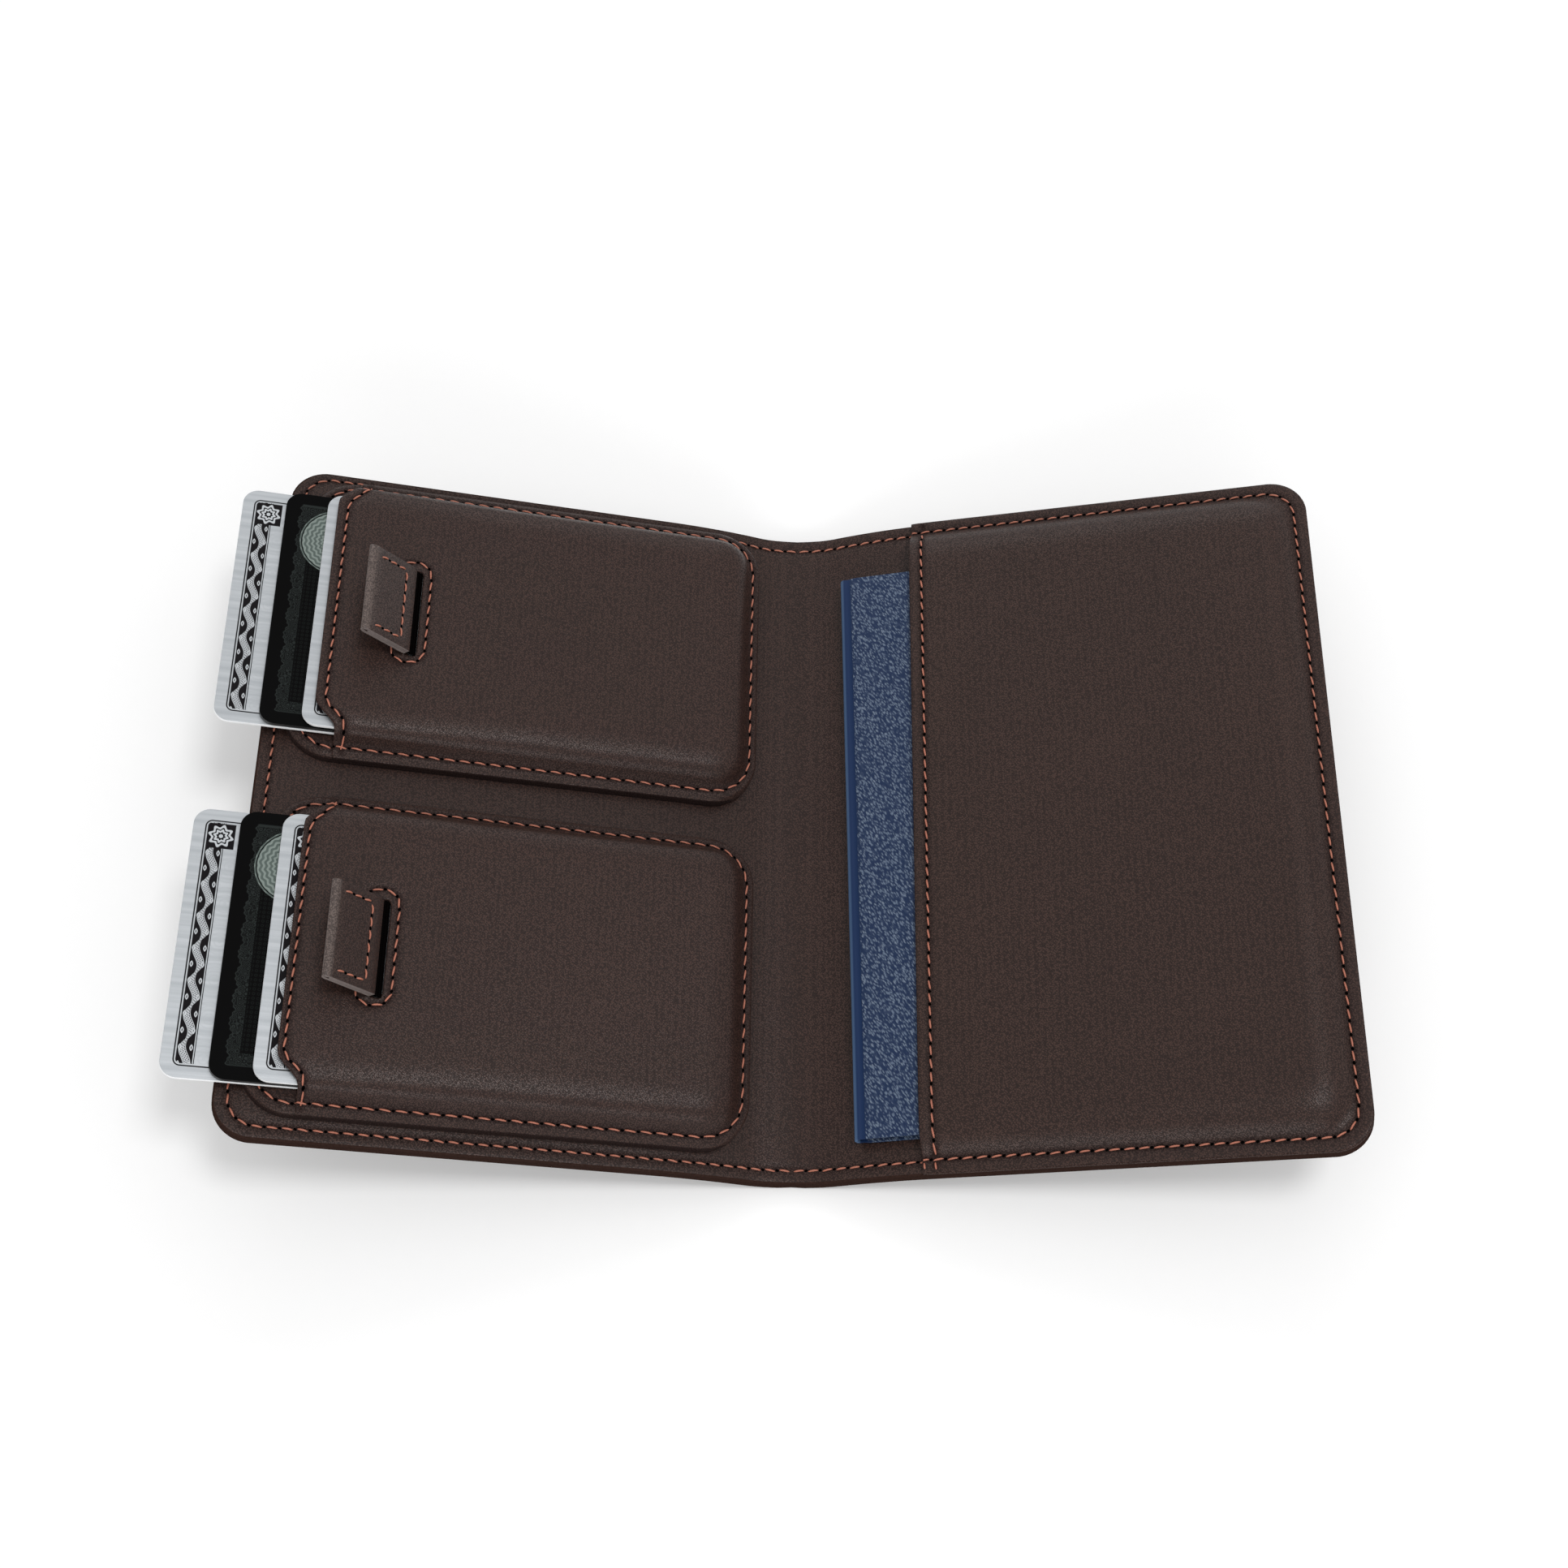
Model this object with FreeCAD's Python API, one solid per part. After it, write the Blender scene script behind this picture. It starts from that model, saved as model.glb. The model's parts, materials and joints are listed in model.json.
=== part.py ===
# Passport holder: a stiffened leather bifold that stands open on its spine.
# The left panel carries two detachable card wallets, the right panel a passport sleeve.
# Millimetres.  X runs across the open holder, Y along the spine, Z is up.
# The origin is the middle of the flat underside of the spine.
import FreeCAD
import Part
import math
import os

Vector = FreeCAD.Vector

# ---- folding cover ----
panel_corner_radius = 9.0
cover_thickness = 1.6
lining_thickness = 1.1
left_rest_angle = 13.4
right_rest_angle = 12.4

# ---- spine and folds ----
fold_offset = 9.0
spine_rise = 1.6
spine_flat_top = 1.0
spine_foot_half = 5.5
fold_clearance = 0.08
fold_lip_angle = 2.0
root_length = 19.0
root_drop = 1.3

# ---- stiffening boards ----
board_thickness = 0.8
board_margin = 5.0
board_root_gap = 1.0
board_corner_radius = 4.0
inlay_gap = 0.1

# ---- passport sleeve ----
sleeve_thickness = 1.1
sleeve_mouth = 16.8
sleeve_seam = 4.1
sleeve_side_seam = 4.65
sleeve_end_play = 3.8
sleeve_side_play = 4.5
sleeve_shoulder = 1.6
sleeve_foot_radius = 0.9

# ---- passport ----
passport_length = 125.0
passport_width = 88.0
passport_thickness = 3.0
passport_board = 0.55
passport_corner_radius = 3.2
passport_spine_radius = 1.1
passport_page_inset = 0.6
passport_groove_width = 1.3
passport_groove_depth = 0.2
passport_groove_offset = 3.2
passport_lean = 1.2
passport_drop = 2.6
passport_edge = 2.6
passport_clearance = 0.15
passport_roof_play = 0.3

# ---- payment cards ----
card_length = 85.6
card_width = 53.98
card_thickness = 0.76
card_corner_radius = 3.18
card_count = 3
card_gap = 0.3
card_stowed_proud = 1.0
card_reach = (19.4, 10.7, 2.9)

# ---- card wallets ----
wallet_start = 0.2
wallet_corner_radius = 10.0
wallet_gap = 8.2
wallet_side_margin = 3.55
wallet_end_margin = 4.1
wallet_seat_gap = 0.1
skin_thickness = 0.8
core_thickness = 0.8
base_edge_chamfer = 0.5
face_edge_chamfer = 0.25
magnet_outer_radius = 23.0
magnet_ring_width = 4.0

# ---- moulded pocket ----
pocket_leather = 1.1
pocket_end_seam = 3.1
pocket_side_seam = 3.76
flange_thickness = 0.9
flange_edge_radius = 0.5
pocket_side_play = 0.7
pocket_corner_radius = 3.0
pocket_shoulder = 1.9
pocket_foot_radius = 0.9
mouth_setback = 6.0
mouth_notch_depth = 4.2
mouth_lip_half = 21.5
mouth_notch_run = 6.0

# ---- slot, strap and pull tab ----
slot_setback = 17.3
slot_width = 1.9
slot_length = 20.2
strap_thickness = 0.35
strap_width = 18.0
strap_clearance = 0.15
strap_anchor_length = 16.0
tab_length = 12.7
tab_width = 19.4
tab_leather = 0.65
tab_rest_angle = 38.0
tab_gap = 0.05
neck_thickness = 0.3
neck_clearance = 0.05
neck_engagement = 8.0
neck_tail = 1.5

# ---- values that follow ----
cavity_half = card_width / 2 + pocket_side_play
wallet_half = cavity_half + pocket_leather + pocket_side_seam
wallet_pitch = 2 * wallet_half + wallet_gap
cavity_start = wallet_start + pocket_end_seam + pocket_leather
mouth_line = cavity_start + strap_thickness + strap_clearance + card_length - card_stowed_proud
wallet_end = mouth_line + mouth_setback
wallet_middle = (wallet_start + wallet_end) / 2
sleeve_cavity_end = passport_edge + passport_width + sleeve_end_play
sleeve_cavity_half = passport_length / 2 + sleeve_side_play
panel_length = max(wallet_end + wallet_end_margin, sleeve_cavity_end + sleeve_thickness + sleeve_seam)
half_height = max(wallet_pitch / 2 + wallet_half + wallet_side_margin,
                  sleeve_cavity_half + sleeve_thickness + sleeve_side_seam)
holder_height = 2 * half_height
total_thickness = cover_thickness + lining_thickness
fold_height = total_thickness + spine_rise
root_radius = (root_length ** 2 + root_drop ** 2) / (2 * root_drop)
base_top = wallet_seat_gap + 2 * skin_thickness + core_thickness
flange_top = base_top + flange_thickness
stack_floor = base_top + strap_thickness + strap_clearance
stack_height = card_count * card_thickness + (card_count - 1) * card_gap
strap_run_floor = stack_floor + stack_height + strap_clearance
cavity_top = strap_run_floor + strap_thickness + strap_clearance
pocket_top = cavity_top + pocket_leather
slot_middle = mouth_line - slot_setback
slot_outer_edge = slot_middle + slot_width / 2
tab_thickness = 2 * tab_leather + neck_thickness + 2 * neck_clearance
beyond = 2 * (panel_length + holder_height)


def prism(edges, sweep):
    return Part.Face(Part.Wire(edges)).extrude(sweep)


def path(points):
    return [Part.makeLine(a, b) for a, b in zip(points, points[1:])]


def arc_about(centre, start, end):
    # the shorter arc from start to end round centre
    radius = (start - centre).Length
    middle = (start - centre + end - centre).normalize() * radius
    return Part.Arc(start, centre + middle, end).toShape()


def rounded_plate(start, end, half, radius, low, high):
    # flat plate from start to end along X and over +-half in Y, with round corners
    plate = Part.makeBox(end - start, 2 * half, high - low, Vector(start, -half, low))
    corners = [edge for edge in plate.Edges if is_upright(edge)]
    return plate.makeFillet(radius, corners)


def disc(radius, low, high, middle):
    return Part.makeCylinder(radius, high - low, Vector(middle, 0, low))


def is_upright(edge):
    box = edge.BoundBox
    return box.XLength < 1e-6 and box.YLength < 1e-6


def level_edges(shape, height):
    # edges that lie wholly in the plane z = height
    return [edge for edge in shape.Edges
            if abs(edge.BoundBox.ZMin - height) < 1e-4 and abs(edge.BoundBox.ZMax - height) < 1e-4]


def inside(edge, start, half):
    # whether an edge lies at or past start along X and within +-half in Y
    box = edge.BoundBox
    return box.XMin > start - 1e-3 and box.YMin > -half - 1e-3 and box.YMax < half + 1e-3


def seat_on_panel(shape, side):
    # Panel parts are drawn with X outward from the fold and Z = 0 on the lining.
    # side is -1 for the left panel and +1 for the right panel.
    seated = shape.copy()
    seated.translate(Vector(0, 0, root_drop))
    if side < 0:
        seated = seated.mirror(Vector(0, 0, 0), Vector(1, 0, 0))
    angle = left_rest_angle if side < 0 else -right_rest_angle
    seated.rotate(Vector(0, 0, 0), Vector(0, 1, 0), angle)
    seated.translate(Vector(side * fold_offset, 0, fold_height))
    return seated


def save(shape, name):
    solid = shape.removeSplitter()
    solid.exportStep("parts/" + name + ".step")


# ---- spine ----

def spine_arc_point(depth, side):
    # where a surface depth below the inner one starts to curve up
    return Vector(side * spine_flat_top, -half_height, total_thickness - depth)


def spine_layer_edges(depth):
    # inner surface of the spine, or one parallel to it, from the left fold to the right
    radius = ((fold_offset - spine_flat_top) ** 2 + spine_rise ** 2) / (2 * spine_rise)
    edges = []
    ends = []
    for side in (-1, 1):
        centre = Vector(side * spine_flat_top, -half_height, total_thickness + radius)
        fold = Vector(side * fold_offset, -half_height, fold_height)
        reach = (fold - centre).normalize() * (radius + depth)
        ends.append(centre + reach)
        edges.append(arc_about(centre, spine_arc_point(depth, side), centre + reach))
    flat = Part.makeLine(spine_arc_point(depth, -1), spine_arc_point(depth, 1))
    return ends[0], [edges[0], flat, edges[1]], ends[1]


def spine_whole():
    left, top, right = spine_layer_edges(0)
    reach = total_thickness + fold_clearance
    lip = math.radians(90 - fold_lip_angle)
    corner_x = fold_offset + reach * math.cos(lip)
    corner_z = fold_height - reach * math.sin(lip)
    below = [right,
             Vector(corner_x, -half_height, corner_z),
             Vector(spine_foot_half, -half_height, 0),
             Vector(-spine_foot_half, -half_height, 0),
             Vector(-corner_x, -half_height, corner_z),
             left]
    body = prism(top + path(below), Vector(0, holder_height, 0))
    for side in (-1, 1):
        foot = Vector(side * fold_offset, -half_height, fold_height)
        body = body.cut(Part.makeCylinder(reach, holder_height, foot, Vector(0, 1, 0)))
    return body


def spine_lining_band():
    left_top, top, right_top = spine_layer_edges(0)
    left_low, low, right_low = spine_layer_edges(lining_thickness)
    edges = top + path([right_top, right_low]) + low[::-1] + path([left_low, left_top])
    return prism(edges, Vector(0, holder_height, 0))


def spine_lining():
    return spine_whole().common(spine_lining_band())


def spine_cover():
    return spine_whole().cut(spine_lining_band())


# ---- panels ----

def root_edges(depth):
    # a surface depth below the lining's top, from the fold to the end of the soft stretch
    centre = Vector(root_length, -half_height, -root_radius)
    fold = Vector(0, -half_height, -root_drop)
    start = centre + (fold - centre).normalize() * (root_radius - depth)
    end = Vector(root_length, -half_height, -depth)
    return start, arc_about(centre, start, end), end


def panel_plan():
    # outline of a panel seen from above, round only at its two outer corners
    return rounded_plate(-beyond, panel_length, half_height, panel_corner_radius, -beyond, beyond)


def panel_layer(depth_top, depth_low):
    start_top, arc_top, end_top = root_edges(depth_top)
    start_low, arc_low, end_low = root_edges(depth_low)
    rim = [end_top,
           Vector(panel_length, -half_height, -depth_top),
           Vector(panel_length, -half_height, -depth_low),
           end_low]
    edges = [arc_top] + path(rim) + [arc_low] + path([start_low, start_top])
    return prism(edges, Vector(0, holder_height, 0))


def fold_nose():
    # round edge of the cover that turns in the hollow edge of the spine
    axis = Vector(0, -half_height, -root_drop)
    down = (Vector(root_length, -half_height, -root_radius) - axis).normalize()
    along = Vector(down.z, 0, -down.x)
    low = axis + down * total_thickness
    tip = axis + along * total_thickness
    edges = [Part.makeLine(axis, low), arc_about(axis, low, tip), Part.makeLine(tip, axis)]
    return prism(edges, Vector(0, holder_height, 0))


def board_blank(grow):
    low = -lining_thickness - board_thickness
    return rounded_plate(root_length + board_root_gap - grow, panel_length - board_margin + grow,
                         half_height - board_margin + grow, board_corner_radius + grow,
                         low, -lining_thickness)


def panel_lining():
    return panel_layer(0, lining_thickness).common(panel_plan())


def panel_cover():
    body = panel_layer(lining_thickness, total_thickness).fuse(fold_nose())
    return body.common(panel_plan()).cut(board_blank(inlay_gap))


def steel_disc(grow=0.0):
    # under the lining, below the wallet's ring of magnets
    low = -lining_thickness - board_thickness
    return disc(magnet_outer_radius + grow, low, -lining_thickness, wallet_middle)


def left_board():
    board = board_blank(0)
    for row in (-1, 1):
        window = steel_disc(inlay_gap)
        window.translate(Vector(0, row * wallet_pitch / 2, 0))
        board = board.cut(window)
    return board


# ---- pockets of moulded leather ----

def bulge(start, end, half, corner, low, high, shoulder):
    # raised form with rounded plan corners at its closed end and a round shoulder
    block = Part.makeBox(end - start, 2 * half, high - low, Vector(start, -half, low))
    closed = [edge for edge in block.Edges if is_upright(edge) and edge.BoundBox.XMin < start + 1e-3]
    block = block.makeFillet(corner, closed)
    rim = [edge for edge in level_edges(block, high) if edge.BoundBox.XMin < end - 1e-3]
    return block.makeFillet(shoulder, rim)


def moulded(flange, form, flange_height, start, half, foot):
    # a flat flange and a raised form in one sheet, with a soft foot between them
    body = flange.fuse(form).removeSplitter()
    feet = [edge for edge in level_edges(body, flange_height) if inside(edge, start, half)]
    return body.makeFillet(foot, feet)


def passport_sleeve():
    # drawn from the outer edge inward, then turned round to face the fold
    start = -sleeve_cavity_end - sleeve_thickness
    half = sleeve_cavity_half + sleeve_thickness
    roof = passport_clearance + passport_thickness + passport_roof_play
    top = roof + sleeve_thickness
    corner = panel_corner_radius - sleeve_seam
    form = bulge(start, 0, half, corner, 0, top, sleeve_shoulder + sleeve_thickness)
    hollow = bulge(-sleeve_cavity_end, beyond, sleeve_cavity_half, corner - sleeve_thickness,
                   -beyond, roof, sleeve_shoulder)
    flange = rounded_plate(-panel_length, beyond, half_height, panel_corner_radius, 0, sleeve_thickness)
    flange = flange.common(Part.makeBox(panel_length, holder_height, beyond, Vector(-panel_length, -half_height, 0)))
    sheet = moulded(flange, form, sleeve_thickness, start, half, sleeve_foot_radius).cut(hollow)
    open_side = Part.makeBox(beyond, 2 * beyond, 2 * beyond, Vector(-sleeve_mouth, -beyond, -beyond))
    sheet = sheet.cut(open_side)
    return sheet.mirror(Vector(0, 0, 0), Vector(1, 0, 0))


def mouth_cutter():
    # everything past the mouth line, which steps back in an S at each end of the lip
    notch_line = mouth_line - mouth_notch_depth
    notch_half = mouth_lip_half + mouth_notch_run
    swing = (mouth_notch_run ** 2 + mouth_notch_depth ** 2) / (4 * mouth_notch_depth)
    edges = []
    for side in (-1, 1):
        lip = Vector(mouth_line, side * mouth_lip_half, 0)
        middle = Vector(mouth_line - mouth_notch_depth / 2, side * (mouth_lip_half + mouth_notch_run / 2), 0)
        notch = Vector(notch_line, side * notch_half, 0)
        edges.append(arc_about(Vector(mouth_line - swing, side * mouth_lip_half, 0), lip, middle))
        edges.append(arc_about(Vector(notch_line + swing, side * notch_half, 0), middle, notch))
        far = [notch, Vector(notch_line, side * beyond, 0), Vector(beyond, side * beyond, 0)]
        edges.extend(path(far))
    edges.append(Part.makeLine(Vector(mouth_line, -mouth_lip_half, 0), Vector(mouth_line, mouth_lip_half, 0)))
    edges.append(Part.makeLine(Vector(beyond, -beyond, 0), Vector(beyond, beyond, 0)))
    wire = Part.Wire(Part.__sortEdges__(edges))
    return Part.Face(wire).extrude(Vector(0, 0, beyond))


def tab_slot():
    half = slot_length / 2
    radius = slot_width / 2
    ends = [Part.makeCylinder(radius, beyond, Vector(slot_middle, side * (half - radius), stack_floor))
            for side in (-1, 1)]
    middle = Part.makeBox(slot_width, slot_length - slot_width, beyond,
                          Vector(slot_middle - radius, radius - half, stack_floor))
    return middle.fuse(ends[0]).fuse(ends[1])


def pocket_front():
    form_start = cavity_start - pocket_leather
    form_half = cavity_half + pocket_leather
    form = bulge(form_start, wallet_end + mouth_setback, form_half,
                 pocket_corner_radius + pocket_leather, base_top, pocket_top,
                 pocket_shoulder + pocket_leather)
    flange = rounded_plate(wallet_start, wallet_end, wallet_half, wallet_corner_radius, base_top, flange_top)
    flange = flange.makeFillet(flange_edge_radius, level_edges(flange, flange_top))
    sheet = moulded(flange, form, flange_top, form_start, form_half, pocket_foot_radius)
    hollow = bulge(cavity_start, beyond, cavity_half, pocket_corner_radius, -beyond, cavity_top, pocket_shoulder)
    return sheet.cut(hollow).cut(mouth_cutter()).cut(tab_slot())


# ---- wallet base ----

def wallet_plate(inset, low, high):
    return rounded_plate(wallet_start + inset, wallet_end - inset, wallet_half - inset,
                         wallet_corner_radius - inset, low, high)


def base_back():
    core_top = base_top - skin_thickness
    tray = wallet_plate(0, wallet_seat_gap, core_top)
    tray = tray.makeChamfer(base_edge_chamfer, level_edges(tray, wallet_seat_gap))
    return tray.cut(wallet_plate(skin_thickness, wallet_seat_gap + skin_thickness, core_top))


def magnet_ring(grow=0.0):
    low = wallet_seat_gap + skin_thickness
    inner_radius = magnet_outer_radius - magnet_ring_width
    outer = disc(magnet_outer_radius + grow, low, low + core_thickness, wallet_middle)
    return outer.cut(disc(inner_radius - grow, low, low + core_thickness, wallet_middle))


def base_core():
    low = wallet_seat_gap + skin_thickness
    plate = wallet_plate(skin_thickness + inlay_gap, low, low + core_thickness)
    return plate.cut(magnet_ring(inlay_gap))


def base_face():
    plate = wallet_plate(0, base_top - skin_thickness, base_top)
    return plate.makeChamfer(face_edge_chamfer, level_edges(plate, base_top))


# ---- cards ----

def card(number):
    low = stack_floor + number * (card_thickness + card_gap)
    end = mouth_line + card_reach[number]
    return rounded_plate(end - card_length, end, card_width / 2, card_corner_radius, low, low + card_thickness)


# ---- strap and pull tab ----

def strap():
    # a ribbon under the roof, round the inner ends of the cards and back along the base
    low = base_top
    high = strap_run_floor + strap_thickness
    outer = (high - low) / 2
    inner = outer - strap_thickness
    turn = cavity_start + strap_clearance / 2 + outer
    start = -strap_width / 2
    axis = Vector(turn, start, low + outer)
    top_end = slot_middle - slot_width / 2 - strap_clearance
    low_end = turn + strap_anchor_length
    loop = [Vector(turn, start, high), Vector(turn - outer, start, low + outer), Vector(turn, start, low)]
    hollow = [Vector(turn, start, low + strap_thickness), Vector(turn - inner, start, low + outer),
              Vector(turn, start, high - strap_thickness)]
    edges = path([Vector(top_end, start, high), loop[0]])
    edges += [arc_about(axis, loop[0], loop[1]), arc_about(axis, loop[1], loop[2])]
    edges += path([loop[2], Vector(low_end, start, low), Vector(low_end, start, low + strap_thickness), hollow[0]])
    edges += [arc_about(axis, hollow[0], hollow[1]), arc_about(axis, hollow[1], hollow[2])]
    edges += path([hollow[2], Vector(top_end, start, high - strap_thickness), Vector(top_end, start, high)])
    return prism(edges, Vector(0, strap_width, 0))


def lift_tab(shape):
    # tab parts are drawn flat from the slot's outer edge, then raised about it
    lifted = shape.copy()
    lifted.rotate(Vector(0, 0, 0), Vector(0, 1, 0), -tab_rest_angle)
    lifted.translate(Vector(slot_outer_edge, 0, pocket_top + tab_gap))
    return lifted


def pull_tab():
    # one strip folded over the strap's end, its two leaves joined by a round fold
    start = -tab_width / 2
    middle = tab_gap + tab_thickness / 2
    outer = tab_thickness / 2
    inner = outer - tab_leather
    fold = tab_length - outer
    axis = Vector(fold, start, middle)
    tip = Vector(fold + outer, start, middle)
    inner_tip = Vector(fold + inner, start, middle)
    low = [Vector(0, start, middle - outer), Vector(fold, start, middle - outer)]
    high = [Vector(fold, start, middle + outer), Vector(0, start, middle + outer)]
    slit_high = [Vector(0, start, middle + inner), Vector(fold, start, middle + inner)]
    slit_low = [Vector(fold, start, middle - inner), Vector(0, start, middle - inner)]
    edges = path(low) + [arc_about(axis, low[1], tip), arc_about(axis, tip, high[0])]
    edges += path(high + slit_high)
    edges += [arc_about(axis, slit_high[1], inner_tip), arc_about(axis, inner_tip, slit_low[0])]
    edges += path(slit_low + low[:1])
    return lift_tab(prism(edges, Vector(0, tab_width, 0)))


def strap_neck():
    # the end of the strap, from the slot up between the leaves of the tab
    low = tab_gap + tab_thickness / 2 - neck_thickness / 2
    ribbon = Part.makeBox(neck_engagement + neck_tail, strap_width, neck_thickness,
                          Vector(-neck_tail, -strap_width / 2, low))
    return lift_tab(ribbon)


# ---- passport ----

def lay_passport(shape):
    # drawn with its spine on X = 0 and its back on Z = 0
    laid = shape.copy()
    middle = passport_edge + passport_width / 2
    laid.rotate(Vector(passport_width / 2, 0, 0), Vector(0, 0, 1), passport_lean)
    laid.translate(Vector(middle - passport_width / 2, -passport_drop, passport_clearance))
    return laid


def passport_block(start, length, width, thickness, low, corner):
    block = Part.makeBox(width, length, thickness, Vector(start, -length / 2, low))
    free = [edge for edge in block.Edges if is_upright(edge) and edge.BoundBox.XMin > start + 1e-3]
    return block.makeFillet(corner, free)


def passport_cover():
    body = passport_block(0, passport_length, passport_width, passport_thickness, 0, passport_corner_radius)
    back = [edge for edge in body.Edges
            if edge.BoundBox.XMax < 1e-3 and edge.BoundBox.YLength > passport_length - 1]
    body = body.makeFillet(passport_spine_radius, back)
    hollow = Part.makeBox(passport_width, passport_length, passport_thickness - 2 * passport_board,
                          Vector(passport_board, -passport_length / 2, passport_board))
    body = body.cut(hollow)
    radius = (passport_groove_width ** 2 / 4 + passport_groove_depth ** 2) / (2 * passport_groove_depth)
    for level in (passport_groove_depth - radius, passport_thickness - passport_groove_depth + radius):
        start = Vector(passport_groove_offset, -passport_length / 2, level)
        body = body.cut(Part.makeCylinder(radius, passport_length, start, Vector(0, 1, 0)))
    return lay_passport(body)


def passport_pages():
    thickness = passport_thickness - 2 * passport_board
    block = passport_block(passport_board, passport_length - 2 * passport_page_inset,
                           passport_width - passport_board - passport_page_inset, thickness,
                           passport_board, passport_corner_radius)
    return lay_passport(block)


# ---- all the pieces ----

def build():
    os.makedirs("parts", exist_ok=True)
    save(spine_cover(), "spine_cover")
    save(spine_lining(), "spine_lining")
    for side, name in ((-1, "left"), (1, "right")):
        save(seat_on_panel(panel_cover(), side), name + "_cover")
        save(seat_on_panel(panel_lining(), side), name + "_lining")
    save(seat_on_panel(left_board(), -1), "left_board")
    save(seat_on_panel(board_blank(0), 1), "right_board")
    save(seat_on_panel(passport_sleeve(), 1), "passport_sleeve")
    save(seat_on_panel(passport_cover(), 1), "passport_cover")
    save(seat_on_panel(passport_pages(), 1), "passport_pages")
    pieces = {"steel_disc": steel_disc(), "base_back": base_back(), "base_core": base_core(),
              "magnet_ring": magnet_ring(), "base_face": base_face(), "pocket_front": pocket_front(),
              "strap": strap(), "strap_neck": strap_neck(), "pull_tab": pull_tab()}
    for number in range(card_count):
        pieces["card_" + str(number + 1)] = card(number)
    for row, place in ((1, "upper_"), (-1, "lower_")):
        for name, shape in pieces.items():
            moved = shape.copy()
            moved.translate(Vector(0, row * wallet_pitch / 2, 0))
            save(seat_on_panel(moved, -1), place + name)


build()
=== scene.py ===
import bpy
import bmesh
import json
import math
import random
from mathutils import Vector, Matrix, kdtree
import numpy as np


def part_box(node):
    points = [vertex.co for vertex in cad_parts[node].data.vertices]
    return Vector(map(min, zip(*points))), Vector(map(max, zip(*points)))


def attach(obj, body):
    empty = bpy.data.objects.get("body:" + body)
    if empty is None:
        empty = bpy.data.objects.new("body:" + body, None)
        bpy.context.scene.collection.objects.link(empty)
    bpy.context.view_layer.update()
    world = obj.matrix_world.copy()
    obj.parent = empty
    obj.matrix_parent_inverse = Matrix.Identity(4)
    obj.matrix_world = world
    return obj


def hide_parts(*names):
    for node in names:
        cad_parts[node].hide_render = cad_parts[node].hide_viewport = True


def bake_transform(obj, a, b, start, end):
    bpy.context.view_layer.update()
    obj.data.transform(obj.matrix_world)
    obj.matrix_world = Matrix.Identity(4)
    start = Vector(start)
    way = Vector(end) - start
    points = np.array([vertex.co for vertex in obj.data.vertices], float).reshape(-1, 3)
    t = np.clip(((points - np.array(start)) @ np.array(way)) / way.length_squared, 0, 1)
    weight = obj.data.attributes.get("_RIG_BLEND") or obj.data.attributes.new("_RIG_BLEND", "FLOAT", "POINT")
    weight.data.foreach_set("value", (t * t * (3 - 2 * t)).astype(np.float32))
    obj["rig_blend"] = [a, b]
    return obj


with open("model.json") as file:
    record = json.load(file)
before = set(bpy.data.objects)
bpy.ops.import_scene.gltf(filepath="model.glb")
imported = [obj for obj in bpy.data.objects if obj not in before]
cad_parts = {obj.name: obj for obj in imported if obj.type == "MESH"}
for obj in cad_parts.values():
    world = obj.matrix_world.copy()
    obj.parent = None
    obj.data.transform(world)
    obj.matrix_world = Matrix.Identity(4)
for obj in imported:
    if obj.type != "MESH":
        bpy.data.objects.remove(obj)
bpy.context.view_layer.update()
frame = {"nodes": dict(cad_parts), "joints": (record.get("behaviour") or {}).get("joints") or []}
joints = {joint["name"]: joint for joint in frame["joints"]}
random.seed(4)
mm = 0.001


class Signal:
    # a node's output that can be written into sums and products
    def __init__(self, tree, socket):
        self.tree, self.socket = tree, socket

    def __add__(self, other):
        return calc("ADD", self, other)

    def __sub__(self, other):
        return calc("SUBTRACT", self, other)

    def __rsub__(self, other):
        return calc("SUBTRACT", other, self)

    def __mul__(self, other):
        return calc("MULTIPLY", self, other)

    def __truediv__(self, other):
        return calc("DIVIDE", self, other)

    def __pow__(self, other):
        return calc("POWER", self, other)

    def __abs__(self):
        return calc("ABSOLUTE", self)

    def clamped(self):
        self.socket.node.use_clamp = True
        return self


def fill(node, feeds):
    for name, source in feeds.items():
        if isinstance(source, Signal):
            source.tree.links.new(source.socket, node.inputs[name])
        else:
            node.inputs[name].default_value = source


def addNode(tree, kind, feeds, out=0, **settings):
    made = tree.nodes.new(kind)
    for key, value in settings.items():
        setattr(made, key, value)
    fill(made, feeds)
    return made if out is None else Signal(tree, made.outputs[out])


def calc(operation, *sources):
    tree = next(source.tree for source in sources if isinstance(source, Signal))
    return addNode(tree, "ShaderNodeMath", dict(enumerate(sources)), operation=operation)


def either(first, second):
    return calc("MAXIMUM", first, second)


def step(value, low, high, lowOut=0.0, highOut=1.0):
    # smooth ramp of a value between two levels
    feeds = {"Value": value, "From Min": low, "From Max": high, "To Min": lowOut, "To Max": highOut}
    return addNode(value.tree, "ShaderNodeMapRange", feeds, "Result", interpolation_type="SMOOTHSTEP")


def band(value, low, high, soft=0.05):
    return step(value, low - soft, low + soft) * step(value, high + soft, high - soft)


def wave(value, period):
    return calc("SINE", value * (2 * math.pi / period))


def blendColour(factor, first, second):
    return addNode(factor.tree, "ShaderNodeMix", {0: factor, 6: first, 7: second}, 2, data_type="RGBA")


def moved(vector, push):
    return addNode(vector.tree, "ShaderNodeVectorMath", {0: vector, 1: push}, operation="ADD")


def scaledBy(vector, scale):
    return addNode(vector.tree, "ShaderNodeVectorMath", {0: vector, "Scale": scale}, operation="SCALE")


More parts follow.
